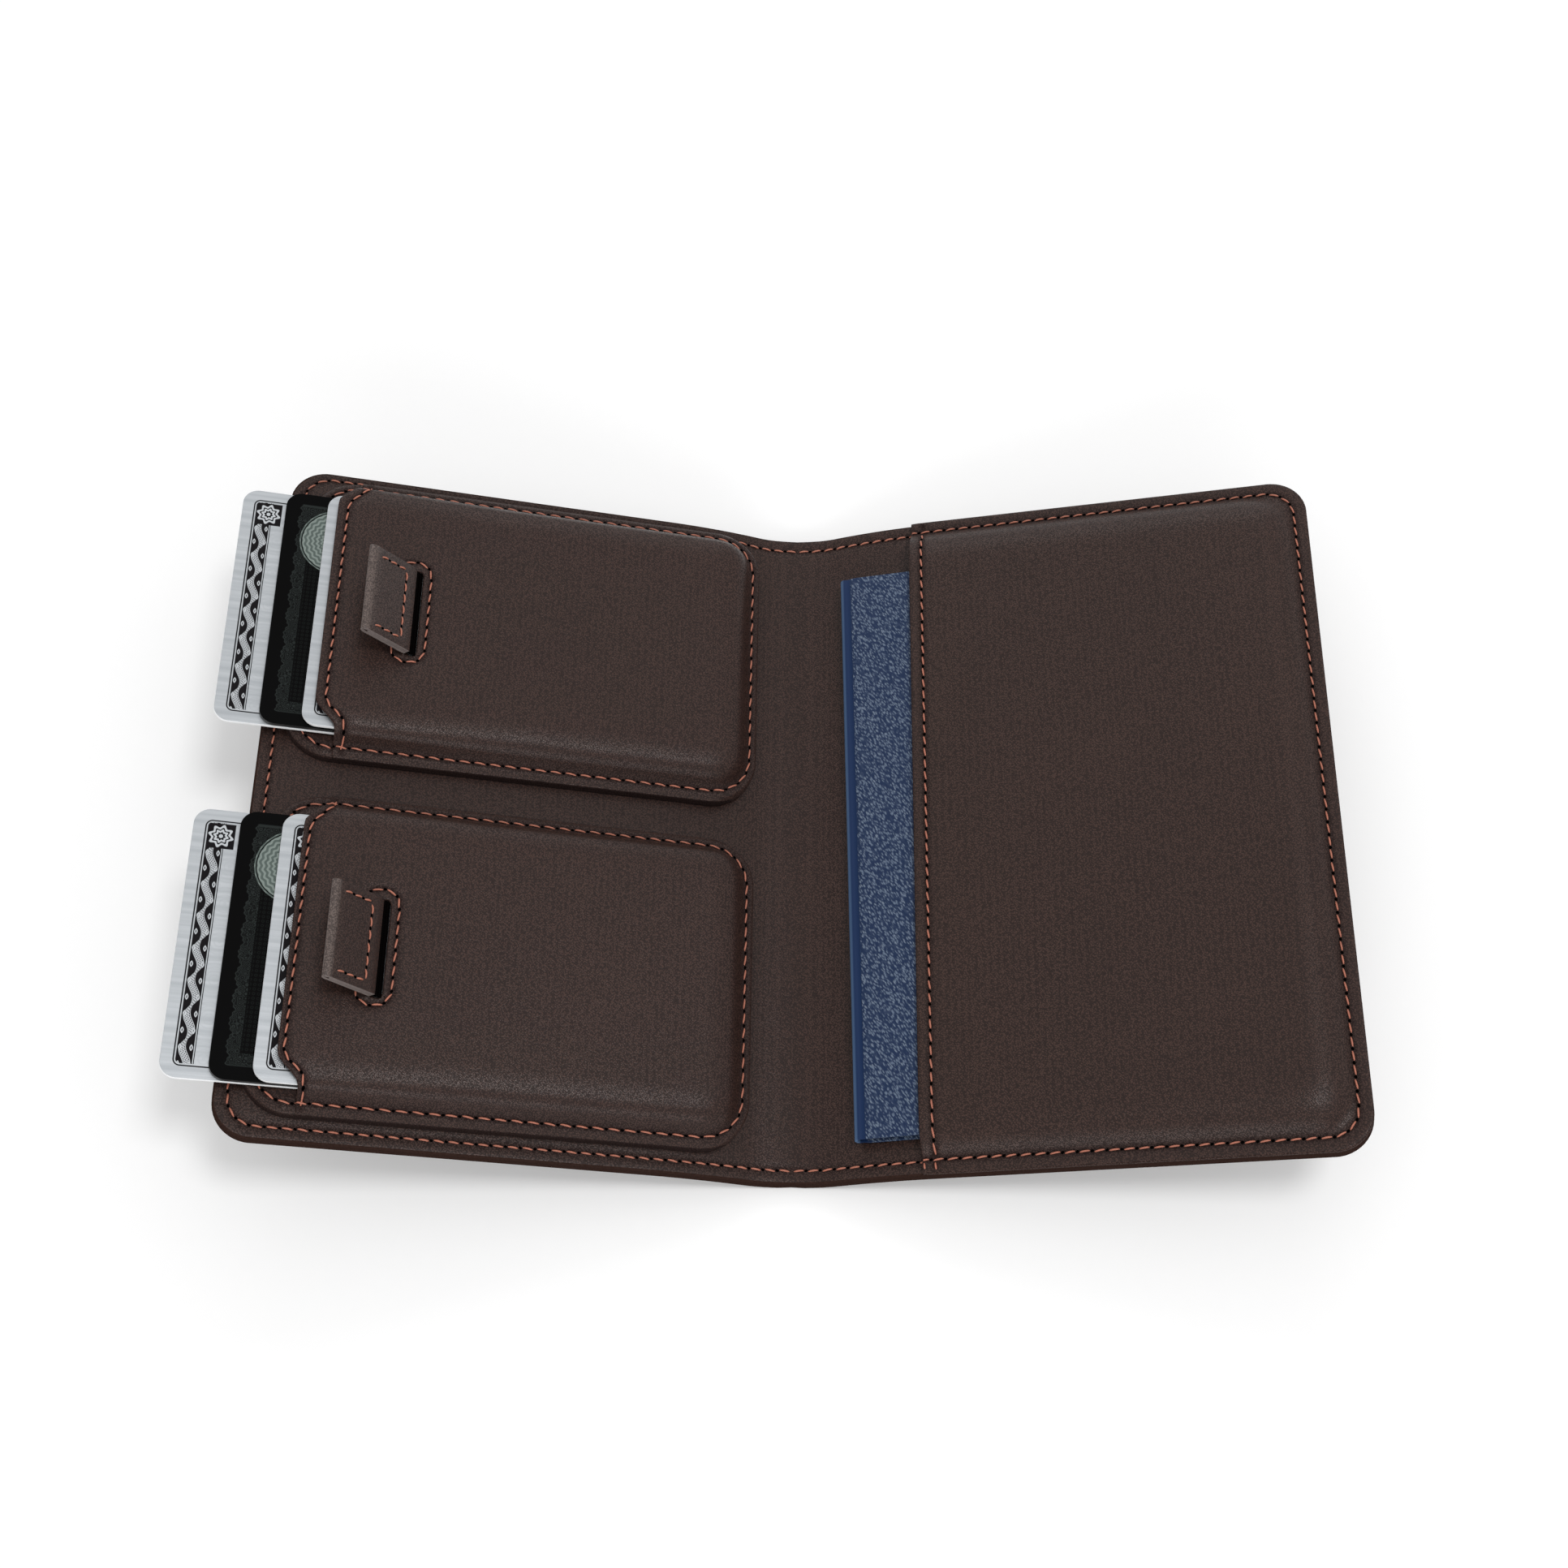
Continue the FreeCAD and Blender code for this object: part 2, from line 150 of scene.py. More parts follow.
def slanted(vector, degrees, scale):
    feeds = {"Vector": vector, "Rotation": (0.0, 0.0, math.radians(degrees)), "Scale": scale}
    return addNode(vector.tree, "ShaderNodeMapping", feeds, vector_type="TEXTURE")


def partsOf(vector):
    split = addNode(vector.tree, "ShaderNodeSeparateXYZ", {0: vector}, None)
    return [Signal(vector.tree, socket) for socket in split.outputs]


def noise(vector, scale, detail, out="Fac", **more):
    feeds = {"Vector": vector, "Scale": scale, "Detail": detail}
    return addNode(vector.tree, "ShaderNodeTexNoise", dict(feeds, **more), out)


def cells(vector, scale, randomness=1.0, smoothness=None):
    feeds = {"Vector": vector, "Scale": scale, "Randomness": randomness}
    if smoothness is None:
        return addNode(vector.tree, "ShaderNodeTexVoronoi", feeds, "Distance")
    feeds["Smoothness"] = smoothness
    return addNode(vector.tree, "ShaderNodeTexVoronoi", feeds, "Distance", feature="SMOOTH_F1")


def attribute(tree, name):
    return addNode(tree, "ShaderNodeAttribute", {}, "Fac", attribute_name=name)


def bumped(height, strength, distance):
    return addNode(height.tree, "ShaderNodeBump", {"Height": height, "Strength": strength, "Distance": distance})


def effect(tree, group, feeds):
    node = addNode(tree, "ShaderNodeGroup", feeds, None, node_tree=group)
    return {socket.name: Signal(tree, socket) for socket in node.outputs}


def newGroup(name, inputs, outputs):
    # inputs without a value are vectors
    tree = bpy.data.node_groups.new(name, "ShaderNodeTree")
    for label, value in inputs.items():
        kind = "NodeSocketVector" if value is None else "NodeSocketFloat"
        socket = tree.interface.new_socket(name=label, in_out="INPUT", socket_type=kind)
        if value is not None:
            socket.default_value = value
    for label in outputs:
        tree.interface.new_socket(name=label, in_out="OUTPUT", socket_type="NodeSocketFloat")
    given = tree.nodes.new("NodeGroupInput")
    signals = {label: Signal(tree, given.outputs[label]) for label in inputs}
    return tree, signals, tree.nodes.new("NodeGroupOutput")


def newMaterial(name):
    material = bpy.data.materials.new(name)
    material.use_nodes = True
    tree = material.node_tree
    place = addNode(tree, "ShaderNodeTexCoord", {}, "Object")
    return material, tree, tree.nodes["Principled BSDF"], place


def rgb(red, green, blue):
    return (red, green, blue, 1.0)


def makePebbleGrain():
    # small worm-like pebbles with pores between them, and a few coloured flecks
    tree, given, result = newGroup("pebbleGrain", {"Vector": None, "Pebbles Per Metre": 1700.0, "Stretch": 0.45},
                                   ("Height", "Pores", "Flecks", "Patches"))
    scaled = scaledBy(given["Vector"], given["Pebbles Per Metre"])
    warp = moved(noise(scaled, 0.8, 2.0, "Color"), (-0.5, -0.5, -0.5))
    bent = moved(scaled, scaledBy(warp, given["Stretch"]))
    # the pebbles are longer one way, at a slant
    drawn = slanted(bent, -38, (1.35, 0.86, 1.0))
    domes = step(cells(drawn, 1.0, 0.75, 0.3), 0.72, 0.18)
    ridges = step(noise(drawn, 1.25, 1.0), 0.40, 0.60)
    height = domes * 0.7 + ridges * 0.3
    spots = noise(scaled, 0.55, 3.0, Roughness=0.7)
    fill(result, {"Height": height, "Pores": step(height, 0.42, 0.12),
                  "Flecks": step(spots, 0.54, 0.68) * step(height, 0.3, 0.6),
                  "Patches": noise(given["Vector"], 38.0, 3.0)})
    return tree


def makeRibbonWeave():
    # plain weave of fine threads, two sine ridges at right angles in a checker
    tree, given, result = newGroup("ribbonWeave", {"Vector": None, "Threads Per Metre": 2600.0},
                                   ("Height", "Gaps"))
    across, along, _ = partsOf(scaledBy(given["Vector"], given["Threads Per Metre"]))
    height = abs(calc("SINE", across * math.pi) * calc("SINE", along * math.pi))
    fill(result, {"Height": height, "Gaps": step(height, 0.35, 0.0)})
    return tree


def makeBrushedLines():
    # long fine scratches across one direction
    tree, given, result = newGroup("brushedLines", {"Vector": None, "Lines Per Metre": 3500.0, "Length": 0.02},
                                   ("Height", "Streaks"))
    along, across, depth = partsOf(given["Vector"])
    slow = along * (given["Lines Per Metre"] * given["Length"])
    fine = across * given["Lines Per Metre"]
    stretched = addNode(tree, "ShaderNodeCombineXYZ", {"X": slow, "Y": fine, "Z": depth})
    fill(result, {"Height": noise(stretched, 1.0, 3.0),
                  "Streaks": noise(scaledBy(stretched, 0.09), 1.0, 4.0)})
    return tree


pebbleGrain = makePebbleGrain()
ribbonWeave = makeRibbonWeave()
brushedLines = makeBrushedLines()


def leatherMaterial(name, look):
    material, tree, shader, place = newMaterial(name)
    grain = effect(tree, pebbleGrain, {"Vector": place, "Pebbles Per Metre": look["pebbles"],
                                       "Stretch": look["stretch"]})
    height, rim, seam = grain["Height"], attribute(tree, "rim"), attribute(tree, "seam")
    shade = (step(height, 0.30, 0.90) + (grain["Patches"] - 0.5) * 0.3).clamped()
    skin = blendColour(shade, look["dark"], look["light"])
    # rounded rims lighten towards the rim colour on the pebble tops: partly a rubbed edge, partly a painted
    # highlight
    wornRimAndHighlight = rim * step(height, 0.2, 0.7, 0.35, 1.0)
    # the seam colour is painted shade, darkening the leather along the pressed seams and on the wallets' rims
    # where they meet the panel
    for mask, part in ((grain["Flecks"], "fleck"), (grain["Pores"], "pore"), (seam, "seam"), (wornRimAndHighlight, "rim")):
        skin = blendColour(mask * look[part + "Share"], skin, look[part])
    # the tops of the pebbles are polished, and the rims and seam lines stay matt
    rough = grain["Pores"] * 0.16 + look["rough"] + step(height, 0.15, 0.95, look["hollowMatt"], 0.0)
    rough = (rough + rim * look["rimMatt"] + seam * look["seamMatt"]).clamped()
    fill(shader, {"Base Color": skin, "Roughness": rough, "Specular IOR Level": look["gloss"],
                  "Normal": bumped(height, look["bump"], look["depth"])})
    return material


def cutEdgeMaterial(name, look):
    # the raw edge of a folded strip, with the two leaves and the fibres between
    material, _, shader, place = newMaterial(name)
    fibres = noise(place, 3200.0, 4.0)
    fill(shader, {"Base Color": blendColour(fibres, look["dark"], look["light"]),
                  "Roughness": step(fibres, 0.2, 0.8, 0.5, 0.72), "Normal": bumped(fibres, 0.6, 0.0001)})
    return material


def threadMaterial(name, look):
    # twisted polyester thread: its strands wind round each stitch
    material, tree, shader, place = newMaterial(name)
    strands = addNode(tree, "ShaderNodeTexWave", {"Vector": place, "Scale": 1500.0, "Distortion": 2.0}, "Fac",
                      bands_direction="DIAGONAL")
    colour = blendColour(noise(place, 180.0, 2.0), look["dark"], look["light"])
    fill(shader, {"Base Color": blendColour(strands * 0.25, colour, look["sheen"]),
                  "Roughness": step(strands, 0.0, 1.0, 0.62, 0.45), "Normal": bumped(strands, 0.5, 0.00006)})
    return material


def plainMaterial(name, look, gloss=0.5):
    # moulded or coated stuff with a fine mottle
    material, _, shader, place = newMaterial(name)
    mottle = noise(place, look["scale"], 4.0)
    fill(shader, {"Base Color": blendColour(mottle, look["dark"], look["light"]),
                  "Roughness": step(mottle, 0.25, 0.75, look["rough"] - 0.06, look["rough"] + 0.06),
                  "Metallic": look["metal"], "Specular IOR Level": gloss,
                  "Normal": bumped(mottle, 0.3, look["depth"])})
    return material


def ribbonMaterial(look):
    # narrow woven strap, dark brown
    material, tree, shader, place = newMaterial("ribbonCloth")
    weave = effect(tree, ribbonWeave, {"Vector": place, "Threads Per Metre": look["threads"]})
    colour = blendColour(weave["Height"], look["dark"], look["light"])
    # the gaps between threads are coloured darker: painted shade
    fill(shader, {"Base Color": blendColour(weave["Gaps"] * 0.6, colour, look["gap"]), "Roughness": 0.8,
                  "Specular IOR Level": 0.0, "Normal": bumped(weave["Height"], 0.6, 0.00005)})
    return material


brownLeather = {
    "pebbles": 3300.0, "stretch": 0.4, "bump": 0.8, "depth": 0.000028,
    "dark": rgb(0.0205, 0.0105, 0.0085), "light": rgb(0.0595, 0.0325, 0.0258),
    "fleck": rgb(0.095, 0.050, 0.038), "fleckShare": 0.08,
    "pore": rgb(0.0110, 0.0050, 0.0038), "poreShare": 0.5,
    # seam: painted shade along the pressed seams
    "seam": rgb(0.0100, 0.0040, 0.0033), "seamShare": 0.6,
    # rim: lighter colour of the rounded edges, partly rubbed wear, partly a painted highlight
    "rim": rgb(0.0480, 0.0260, 0.0210), "rimShare": 0.35,
    "rough": 0.25, "hollowMatt": 0.12, "rimMatt": 0.5, "seamMatt": 0.5, "gloss": 0.175}
# the tab's rim colour lightens its nose: mostly a painted highlight, partly a rubbed fold
tabNoseHighlight = {"rim": rgb(0.170, 0.132, 0.118), "rimShare": 0.7, "rimMatt": 0.0, "gloss": 0.3}
threadLook = {"dark": rgb(0.355, 0.112, 0.068), "light": rgb(0.455, 0.155, 0.095), "sheen": rgb(0.56, 0.25, 0.175)}
ribbonLook = {"threads": 2600.0, "dark": rgb(0.0010, 0.0008, 0.0008), "light": rgb(0.0036, 0.0028, 0.0027),
              # gap: painted shade between the threads
              "gap": rgb(0.0005, 0.0005, 0.0005)}
needleHoleShadeLook = {"scale": 2500.0, "dark": rgb(0.0006, 0.0005, 0.0005), "light": rgb(0.0014, 0.0010, 0.0010),
                  "rough": 0.9, "metal": 0.0, "depth": 0.00002}
cutLook = {"dark": rgb(0.130, 0.104, 0.096), "light": rgb(0.235, 0.196, 0.185)}
paintedLook = {"scale": 2600.0, "dark": rgb(0.0160, 0.0085, 0.0068), "light": rgb(0.0460, 0.0255, 0.0205),
               "rough": 0.62, "metal": 0.0, "depth": 0.00003}

panelLeather = leatherMaterial("panelLeather", brownLeather)
# the seam colour is stronger here: painted shade along the seams of the wallets and sleeve, and at the wallets'
# rims
pocketLeather = leatherMaterial("pocketLeather", dict(brownLeather, seamShare=0.85))
outerLeather = leatherMaterial("outerLeather", dict(brownLeather, rough=0.46))
tabLeather = leatherMaterial("tabLeather", dict(brownLeather, **tabNoseHighlight))
tabCutEdge = cutEdgeMaterial("tabCutEdge", cutLook)
copperThread = threadMaterial("copperThread", threadLook)
# needle holes are near-black patches: painted shade in the holes
needleHoleShade = plainMaterial("needleHoleShade", needleHoleShadeLook, 0.0)
paintedEdge = plainMaterial("paintedEdge", paintedLook, 0.0)
ribbonCloth = ribbonMaterial(ribbonLook)


fold = {"lining": 1.1, "cover": 1.6, "flat": 1.0, "rootLength": 19.0, "rootDrop": 1.3, "blend": 2.2}


def panelSeat(side):
    # matrix from a panel's own millimetres (across, along, up from the lining) to the holder
    normal = Vector(joints["upper_wallet_lift"]["axis"])
    outward = Vector(joints["passport_slide"]["axis"])
    up = normal if side < 0 else Vector((outward.z, 0, -outward.x))
    across = Vector((up.z, 0, -up.x))
    pivot = Vector(joints["left_fold" if side < 0 else "right_fold"]["pos_m"])
    spot = pivot + up * fold["rootDrop"] * mm
    turn = Matrix((across, Vector((0, 1, 0)), up)).transposed().to_4x4()
    return Matrix.Translation(spot) @ turn @ Matrix.Scale(mm, 4)


seats = {-1: panelSeat(-1), 1: panelSeat(1)}
bodies = {-1: "left_panel", 1: "right_panel"}
foldX = joints["right_fold"]["pos_m"][0] / mm
foldZ = joints["right_fold"]["pos_m"][2] / mm
spineTop = fold["lining"] + fold["cover"]
spineReach = foldX - fold["flat"]
spineRadius = (spineReach ** 2 + (foldZ - spineTop) ** 2) / (2 * (foldZ - spineTop))
spineTurn = math.asin(spineReach / spineRadius)
foldRun = fold["flat"] + spineRadius * spineTurn
rootRadius = (fold["rootLength"] ** 2 + fold["rootDrop"] ** 2) / (2 * fold["rootDrop"])
rootTurn = math.asin(fold["rootLength"] / rootRadius)
rootRun = rootRadius * rootTurn
# a panel's across distance plus this is the run over the lining
linedRun = foldRun + rootRun - fold["rootLength"]


def onCover(side, run, along, up):
    # run is measured over the lining from the middle of the spine
    if run <= fold["flat"]:
        return Vector((side * run, along, spineTop + up)) * mm
    if run <= foldRun:
        angle = (run - fold["flat"]) / spineRadius
        x = fold["flat"] + (spineRadius - up) * math.sin(angle)
        z = spineTop + spineRadius - (spineRadius - up) * math.cos(angle)
        return Vector((side * x, along, z)) * mm
    past = run - foldRun
    if past <= rootRun:
        angle = rootTurn - past / rootRadius
        x = fold["rootLength"] - (rootRadius + up) * math.sin(angle)
        z = (rootRadius + up) * math.cos(angle) - rootRadius
    else:
        x = fold["rootLength"] + past - rootRun
        z = up
    return seats[side] @ Vector((side * x, along, z))


# sheets stay flat and in millimetres until a piece is placed
def flatSheet(low, high, cell):
    bm = bmesh.new()
    across = max(2, round((high[0] - low[0]) / cell))
    along = max(2, round((high[1] - low[1]) / cell))
    bmesh.ops.create_grid(bm, x_segments=across, y_segments=along, size=0.5)
    bmesh.ops.scale(bm, vec=(high[0] - low[0], high[1] - low[1], 1), verts=bm.verts)
    bmesh.ops.translate(bm, vec=((low[0] + high[0]) / 2, (low[1] + high[1]) / 2, 0), verts=bm.verts)
    return bm


def cutCorner(bm, corner, inward, radius, facets):
    # rounds one corner of a flat sheet with cuts that touch its arc
    centre = Vector((corner[0] + inward[0] * radius, corner[1] + inward[1] * radius, 0))
    for number in range(facets):
        angle = (number + 0.5) * math.pi / 2 / facets
        away = Vector((-inward[0] * math.cos(angle), -inward[1] * math.sin(angle), 0))
        bmesh.ops.bisect_plane(bm, geom=bm.verts[:] + bm.edges[:] + bm.faces[:], dist=0.02,
                               plane_co=centre + away * radius, plane_no=away, clear_outer=True)


def roundCorners(bm, low, high, radius, ends=(1, -1), facets=12):
    # the ends that are rounded: 1 is the low end of X, and -1 the high one
    for end in ends:
        for sign in (-1, 1):
            corner = (low[0] if end > 0 else high[0], high[1] if sign > 0 else low[1])
            cutCorner(bm, corner, (end, -sign), radius, facets)


# angle of a corner that is as good as straight, and millimetres between the points of a run
spread = {"straight": 3.14, "spacing": 0.2}


def roundedRun(corners, radii, closed=False):
    # closely spaced points along straight runs joined by arcs
    points = [Vector(corner) for corner in corners]
    count = len(points)
    run = []
    for number in range(count):
        here = points[number]
        radius = radii[number] if isinstance(radii, (list, tuple)) else radii
        if not closed and number in (0, count - 1):
            run.append(here)
            continue
        before = (points[number - 1] - here).normalized()
        after = (points[(number + 1) % count] - here).normalized()
        turn = before.angle(after)
        if turn > spread["straight"]:
            run.append(here)
            continue
        reach = radius / math.tan(turn / 2)
        centre = here + (before + after).normalized() * (radius / math.sin(turn / 2))
        first = here + before * reach - centre
        second = here + after * reach - centre
        sweep = first.angle_signed(second)
        steps = max(2, round(abs(sweep) * radius / spread["spacing"]))
        for part in range(steps + 1):
            bend = -sweep * part / steps
            spun = Vector((first.x * math.cos(bend) - first.y * math.sin(bend),
                           first.x * math.sin(bend) + first.y * math.cos(bend)))
            run.append(centre + spun)
    if closed:
        run.append(run[0].copy())
    filled = []
    for start, end in zip(run, run[1:]):
        steps = max(1, round((end - start).length / spread["spacing"]))
        filled.extend(start.lerp(end, part / steps) for part in range(steps))
    filled.append(run[-1])
    return filled


def nearTree(runs):
    tree = kdtree.KDTree(sum(len(run) for run in runs))
    for run in runs:
        for point in run:
            tree.insert((point[0], point[1], 0), 0)
    tree.balance()
    return tree


def refineNear(bm, tree, reach, cuts):
    edges = []
    for edge in bm.edges:
        middle = (edge.verts[0].co + edge.verts[1].co) / 2
        if tree.find((middle.x, middle.y, 0))[2] < reach:
            edges.append(edge)
    bmesh.ops.subdivide_edges(bm, edges=edges, cuts=cuts, use_grid_fill=True)


def rimDirections(bm):
    # the way out of the sheet at each vertex of its edge
    ways = {}
    for edge in bm.edges:
        if not edge.is_boundary:
            continue
        first, second = edge.verts
        run = second.co - first.co
        away = Vector((run.y, -run.x, 0)).normalized()
        if away.dot((first.co + second.co) / 2 - edge.link_faces[0].calc_center_median()) < 0:
            away.negate()
        for vert in edge.verts:
            ways[vert] = ways.get(vert, Vector((0, 0, 0))) + away
    return {vert: way.normalized() for vert, way in ways.items()}


def thicken(bm, thickness, rim, keepOpen=None, steps=4, sideMaterial=0):
    # gives a flat sheet its thickness, with an edge rounded by rim at the top and half of it below
    rimLayer = bm.verts.layers.float.get("rim") or bm.verts.layers.float.new("rim")
    ways = rimDirections(bm)
    topFaces = bm.faces[:]
    under = bmesh.ops.duplicate(bm, geom=bm.verts[:] + bm.edges[:] + topFaces)
    underVerts = [part for part in under["geom"] if isinstance(part, bmesh.types.BMVert)]
    underFaces = [part for part in under["geom"] if isinstance(part, bmesh.types.BMFace)]
    bmesh.ops.translate(bm, vec=(0, 0, -thickness), verts=underVerts)
    bmesh.ops.reverse_faces(bm, faces=underFaces)
    edges = [edge for edge in bm.edges if edge.is_boundary and edge.verts[0] in ways]
    if keepOpen:
        edges = [edge for edge in edges if not all(keepOpen(vert.co) for vert in edge.verts)]
    lower = rim * 0.5
    angles = [part * math.pi / 2 / steps for part in range(1, steps + 1)]
    profile = [(rim * math.sin(angle), -rim * (1 - math.cos(angle))) for angle in angles]
    profile.append((rim, -thickness + lower))
    profile += [(rim - lower * (1 - math.cos(angle)), -thickness + lower * (1 - math.sin(angle)))
                for angle in angles]
    profile.append((0.0, -thickness))
    home = {vert: (vert.co.copy(), way) for vert, way in ways.items()}
    current = {vert: vert for vert in ways}
    for out, down in profile:
        grown = bmesh.ops.extrude_edge_only(bm, edges=edges)["geom"]
        edges = [part for part in grown if isinstance(part, bmesh.types.BMEdge)
                 and all(vert in grown for vert in part.verts) and part.is_boundary]
        fresh = [part for part in grown if isinstance(part, bmesh.types.BMVert)]
        following = {}
        for vert in fresh:
            for edge in vert.link_edges:
                other = edge.other_vert(vert)
                if other in current:
                    following[vert] = current[other]
                    break
        for vert, start in following.items():
            place, way = home[start]
            vert.co = place + way * out + Vector((0, 0, down))
            # the rim layer marks the rounded edge, which the leathers make matt and lighten, partly as rubbed
            # wear, partly as a painted highlight
            vert[rimLayer] = 1.0 if out > rim * 0.6 else 0.0
        current = following
    for face in bm.faces:
        if face not in topFaces and face not in underFaces:
            face.material_index = sideMaterial
    bmesh.ops.remove_doubles(bm, verts=bm.verts[:], dist=0.0004)
    bmesh.ops.recalc_face_normals(bm, faces=bm.faces[:])


def markSeams(bm, tree):
    # one along a seam, fading to nothing beside it
    seamLayer = bm.verts.layers.float.get("seam") or bm.verts.layers.float.new("seam")
    for vert in bm.verts:
        distance = tree.find((vert.co.x, vert.co.y, 0))[2]
        vert[seamLayer] = math.exp(-(distance / cover["dipReach"]) ** 2)
    return seamLayer


def sinkSeams(bm, tree, thickness, dip, level):
    # raises a sheet to its level, and presses its seams into the side that is seen
    seamLayer = markSeams(bm, tree)
    for vert in bm.verts:
        shown = vert.co.z > -thickness / 2
        vert.co.z += level(vert.co)
        if shown:
            vert.co.z -= dip * vert[seamLayer]
        else:
            vert[seamLayer] = 0.0
    return seamLayer


def placeMesh(name, bm, toHolder, materials, body=None, replaced=(), smooth=True):
    # moves a mesh from its own millimetres into the holder and makes it a piece
    for vert in bm.verts:
        vert.co = toHolder(vert.co)
    bmesh.ops.recalc_face_normals(bm, faces=bm.faces[:])
    mesh = bpy.data.meshes.new(name)
    for face in bm.faces:
        face.smooth = smooth
    bm.to_mesh(mesh)
    bm.free()
    for material in materials:
        mesh.materials.append(material)
    piece = bpy.data.objects.new(name, mesh)
    bpy.context.scene.collection.objects.link(piece)
    if body:
        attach(piece, body)
    if replaced:
        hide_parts(*replaced)
    return piece


stitch = {"length": 2.2, "share": 0.77, "thick": 0.39, "flatness": 0.9, "bluntness": 3.5, "rise": 0.17,
          "arch": 1.7, "slant": 8.0, "wander": 3.0, "holeTurn": 3, "hole": (0.36, 0.28, 0.07)}


def stitchShapes():
    # one thread loop and one needle hole, both along X; the hole is a near-black patch, painted shade in the hole
    thread = bmesh.new()
    bmesh.ops.create_uvsphere(thread, u_segments=6, v_segments=6, radius=0.5,
                              matrix=Matrix.Rotation(math.pi / 2, 4, "Y"))
    for vert in thread.verts:
        reach = vert.co.x * 2
        body = math.sqrt(max(0.0, 1 - vert.co.x ** 2 * 4)) or 1.0
        swell = (1 - abs(reach) ** stitch["bluntness"]) ** 0.5 / body if abs(reach) < 0.999 else 0.0
        vert.co = Vector((vert.co.x * stitch["length"], vert.co.y * stitch["thick"] * swell,
                          vert.co.z * stitch["thick"] * stitch["flatness"] * swell))
        vert.co.z += stitch["rise"] * (1 - reach ** 2 * stitch["arch"])
    hole = bmesh.new()
    bmesh.ops.create_uvsphere(hole, u_segments=8, v_segments=4, radius=1.0)
    bmesh.ops.scale(hole, vec=stitch["hole"], verts=hole.verts)
    for face in hole.faces:
        face.material_index = 1
    meshes = []
    for shape in (thread, hole):
        mesh = bpy.data.meshes.new("stitchShape")
        shape.to_mesh(mesh)
        shape.free()
        meshes.append(mesh)
    return meshes


threadShape, holeShape = stitchShapes()


def sewAlong(bm, run, pitch, height, below, closed):
    # lays stitches and needle holes along a run, on a surface of the given height
    lengths = [0.0]
    for first, second in zip(run, run[1:]):
        lengths.append(lengths[-1] + (second - first).length)
    count = max(1, round(lengths[-1] / pitch))
    gap = lengths[-1] / count
    number = 0

    def spotAt(distance):
        nonlocal number
        distance = min(max(distance, 0.0), lengths[-1] - 1e-6)
        while number > 0 and lengths[number] > distance:
            number -= 1
        while lengths[number + 1] < distance:
            number += 1
        share = (distance - lengths[number]) / max(1e-9, lengths[number + 1] - lengths[number])
        spot = run[number].lerp(run[number + 1], share)
        return spot, (run[number + 1] - run[number]).normalized()

    def lay(shape, spot, heading, turn, stretch=1.0):
        start = len(bm.verts)
        bm.from_mesh(shape)
        bm.verts.ensure_lookup_table()
        matrix = Matrix.Rotation(math.atan2(heading.y, heading.x) + turn, 4, "Z")
        for vert in bm.verts[start:]:
            co = matrix @ Vector((vert.co.x * stretch, vert.co.y, vert.co.z))
            across, along = co.x + spot.x, co.y + spot.y
            level = height(across, along)
            vert.co = Vector((across, along, level - co.z if below else level + co.z))

    for part in range(count):
        begin, _ = spotAt((part + 0.5 - stitch["share"] / 2) * gap)
        finish, _ = spotAt((part + 0.5 + stitch["share"] / 2) * gap)
        spot = (begin + finish) / 2
        heading = (finish - begin).normalized()
        turn = math.radians(stitch["slant"] + random.uniform(-1, 1) * stitch["wander"])
        lay(threadShape, spot, heading, turn, gap * stitch["share"] / stitch["length"])
        if part or closed:
            place, heading = spotAt(part * gap)
            lay(holeShape, place, heading, turn * stitch["holeTurn"])


print("materials and helpers ready")


cover = {"half": 72.75, "panel": 99.6, "corner": 7.6, "cell": 2.4, "rim": 0.38, "underRim": 0.45,
         "seamInset": 2.65, "topInset": 1.65, "bottomInset": 2.5, "seamEase": 0.6, "narrowing": 12, "pitch": 2.75,
         "dip": 0.16, "dipReach": 0.75, "refine": (2.2, 2), "bendReach": 5}
coverEnd = linedRun + cover["panel"]


def coverSeam(side):
    # beside the wallets the seam runs closer to the edge
    reach = coverEnd - cover["seamInset"]
    half = cover["half"] - cover["seamInset"]
    top = cover["half"] - cover["topInset"] if side < 0 else half
    bottom = cover["half"] - cover["bottomInset"] if side < 0 else half
    corner = cover["corner"] - cover["seamInset"] + cover["seamEase"]
    wide = foldRun + cover["narrowing"]
    return roundedRun([(0, half), (foldRun, half), (wide, top), (reach, top), (reach, -bottom),
                       (wide, -bottom), (foldRun, -half), (0, -half)], [1, 4, 4, corner, corner, 4, 4, 1])


def coverSheet(inset):
    low = (0, -cover["half"] + inset)
    high = (coverEnd - inset, cover["half"] - inset)
    bm = flatSheet(low, high, cover["cell"])
    roundCorners(bm, low, high, cover["corner"] - inset, ends=(-1,))
    return bm


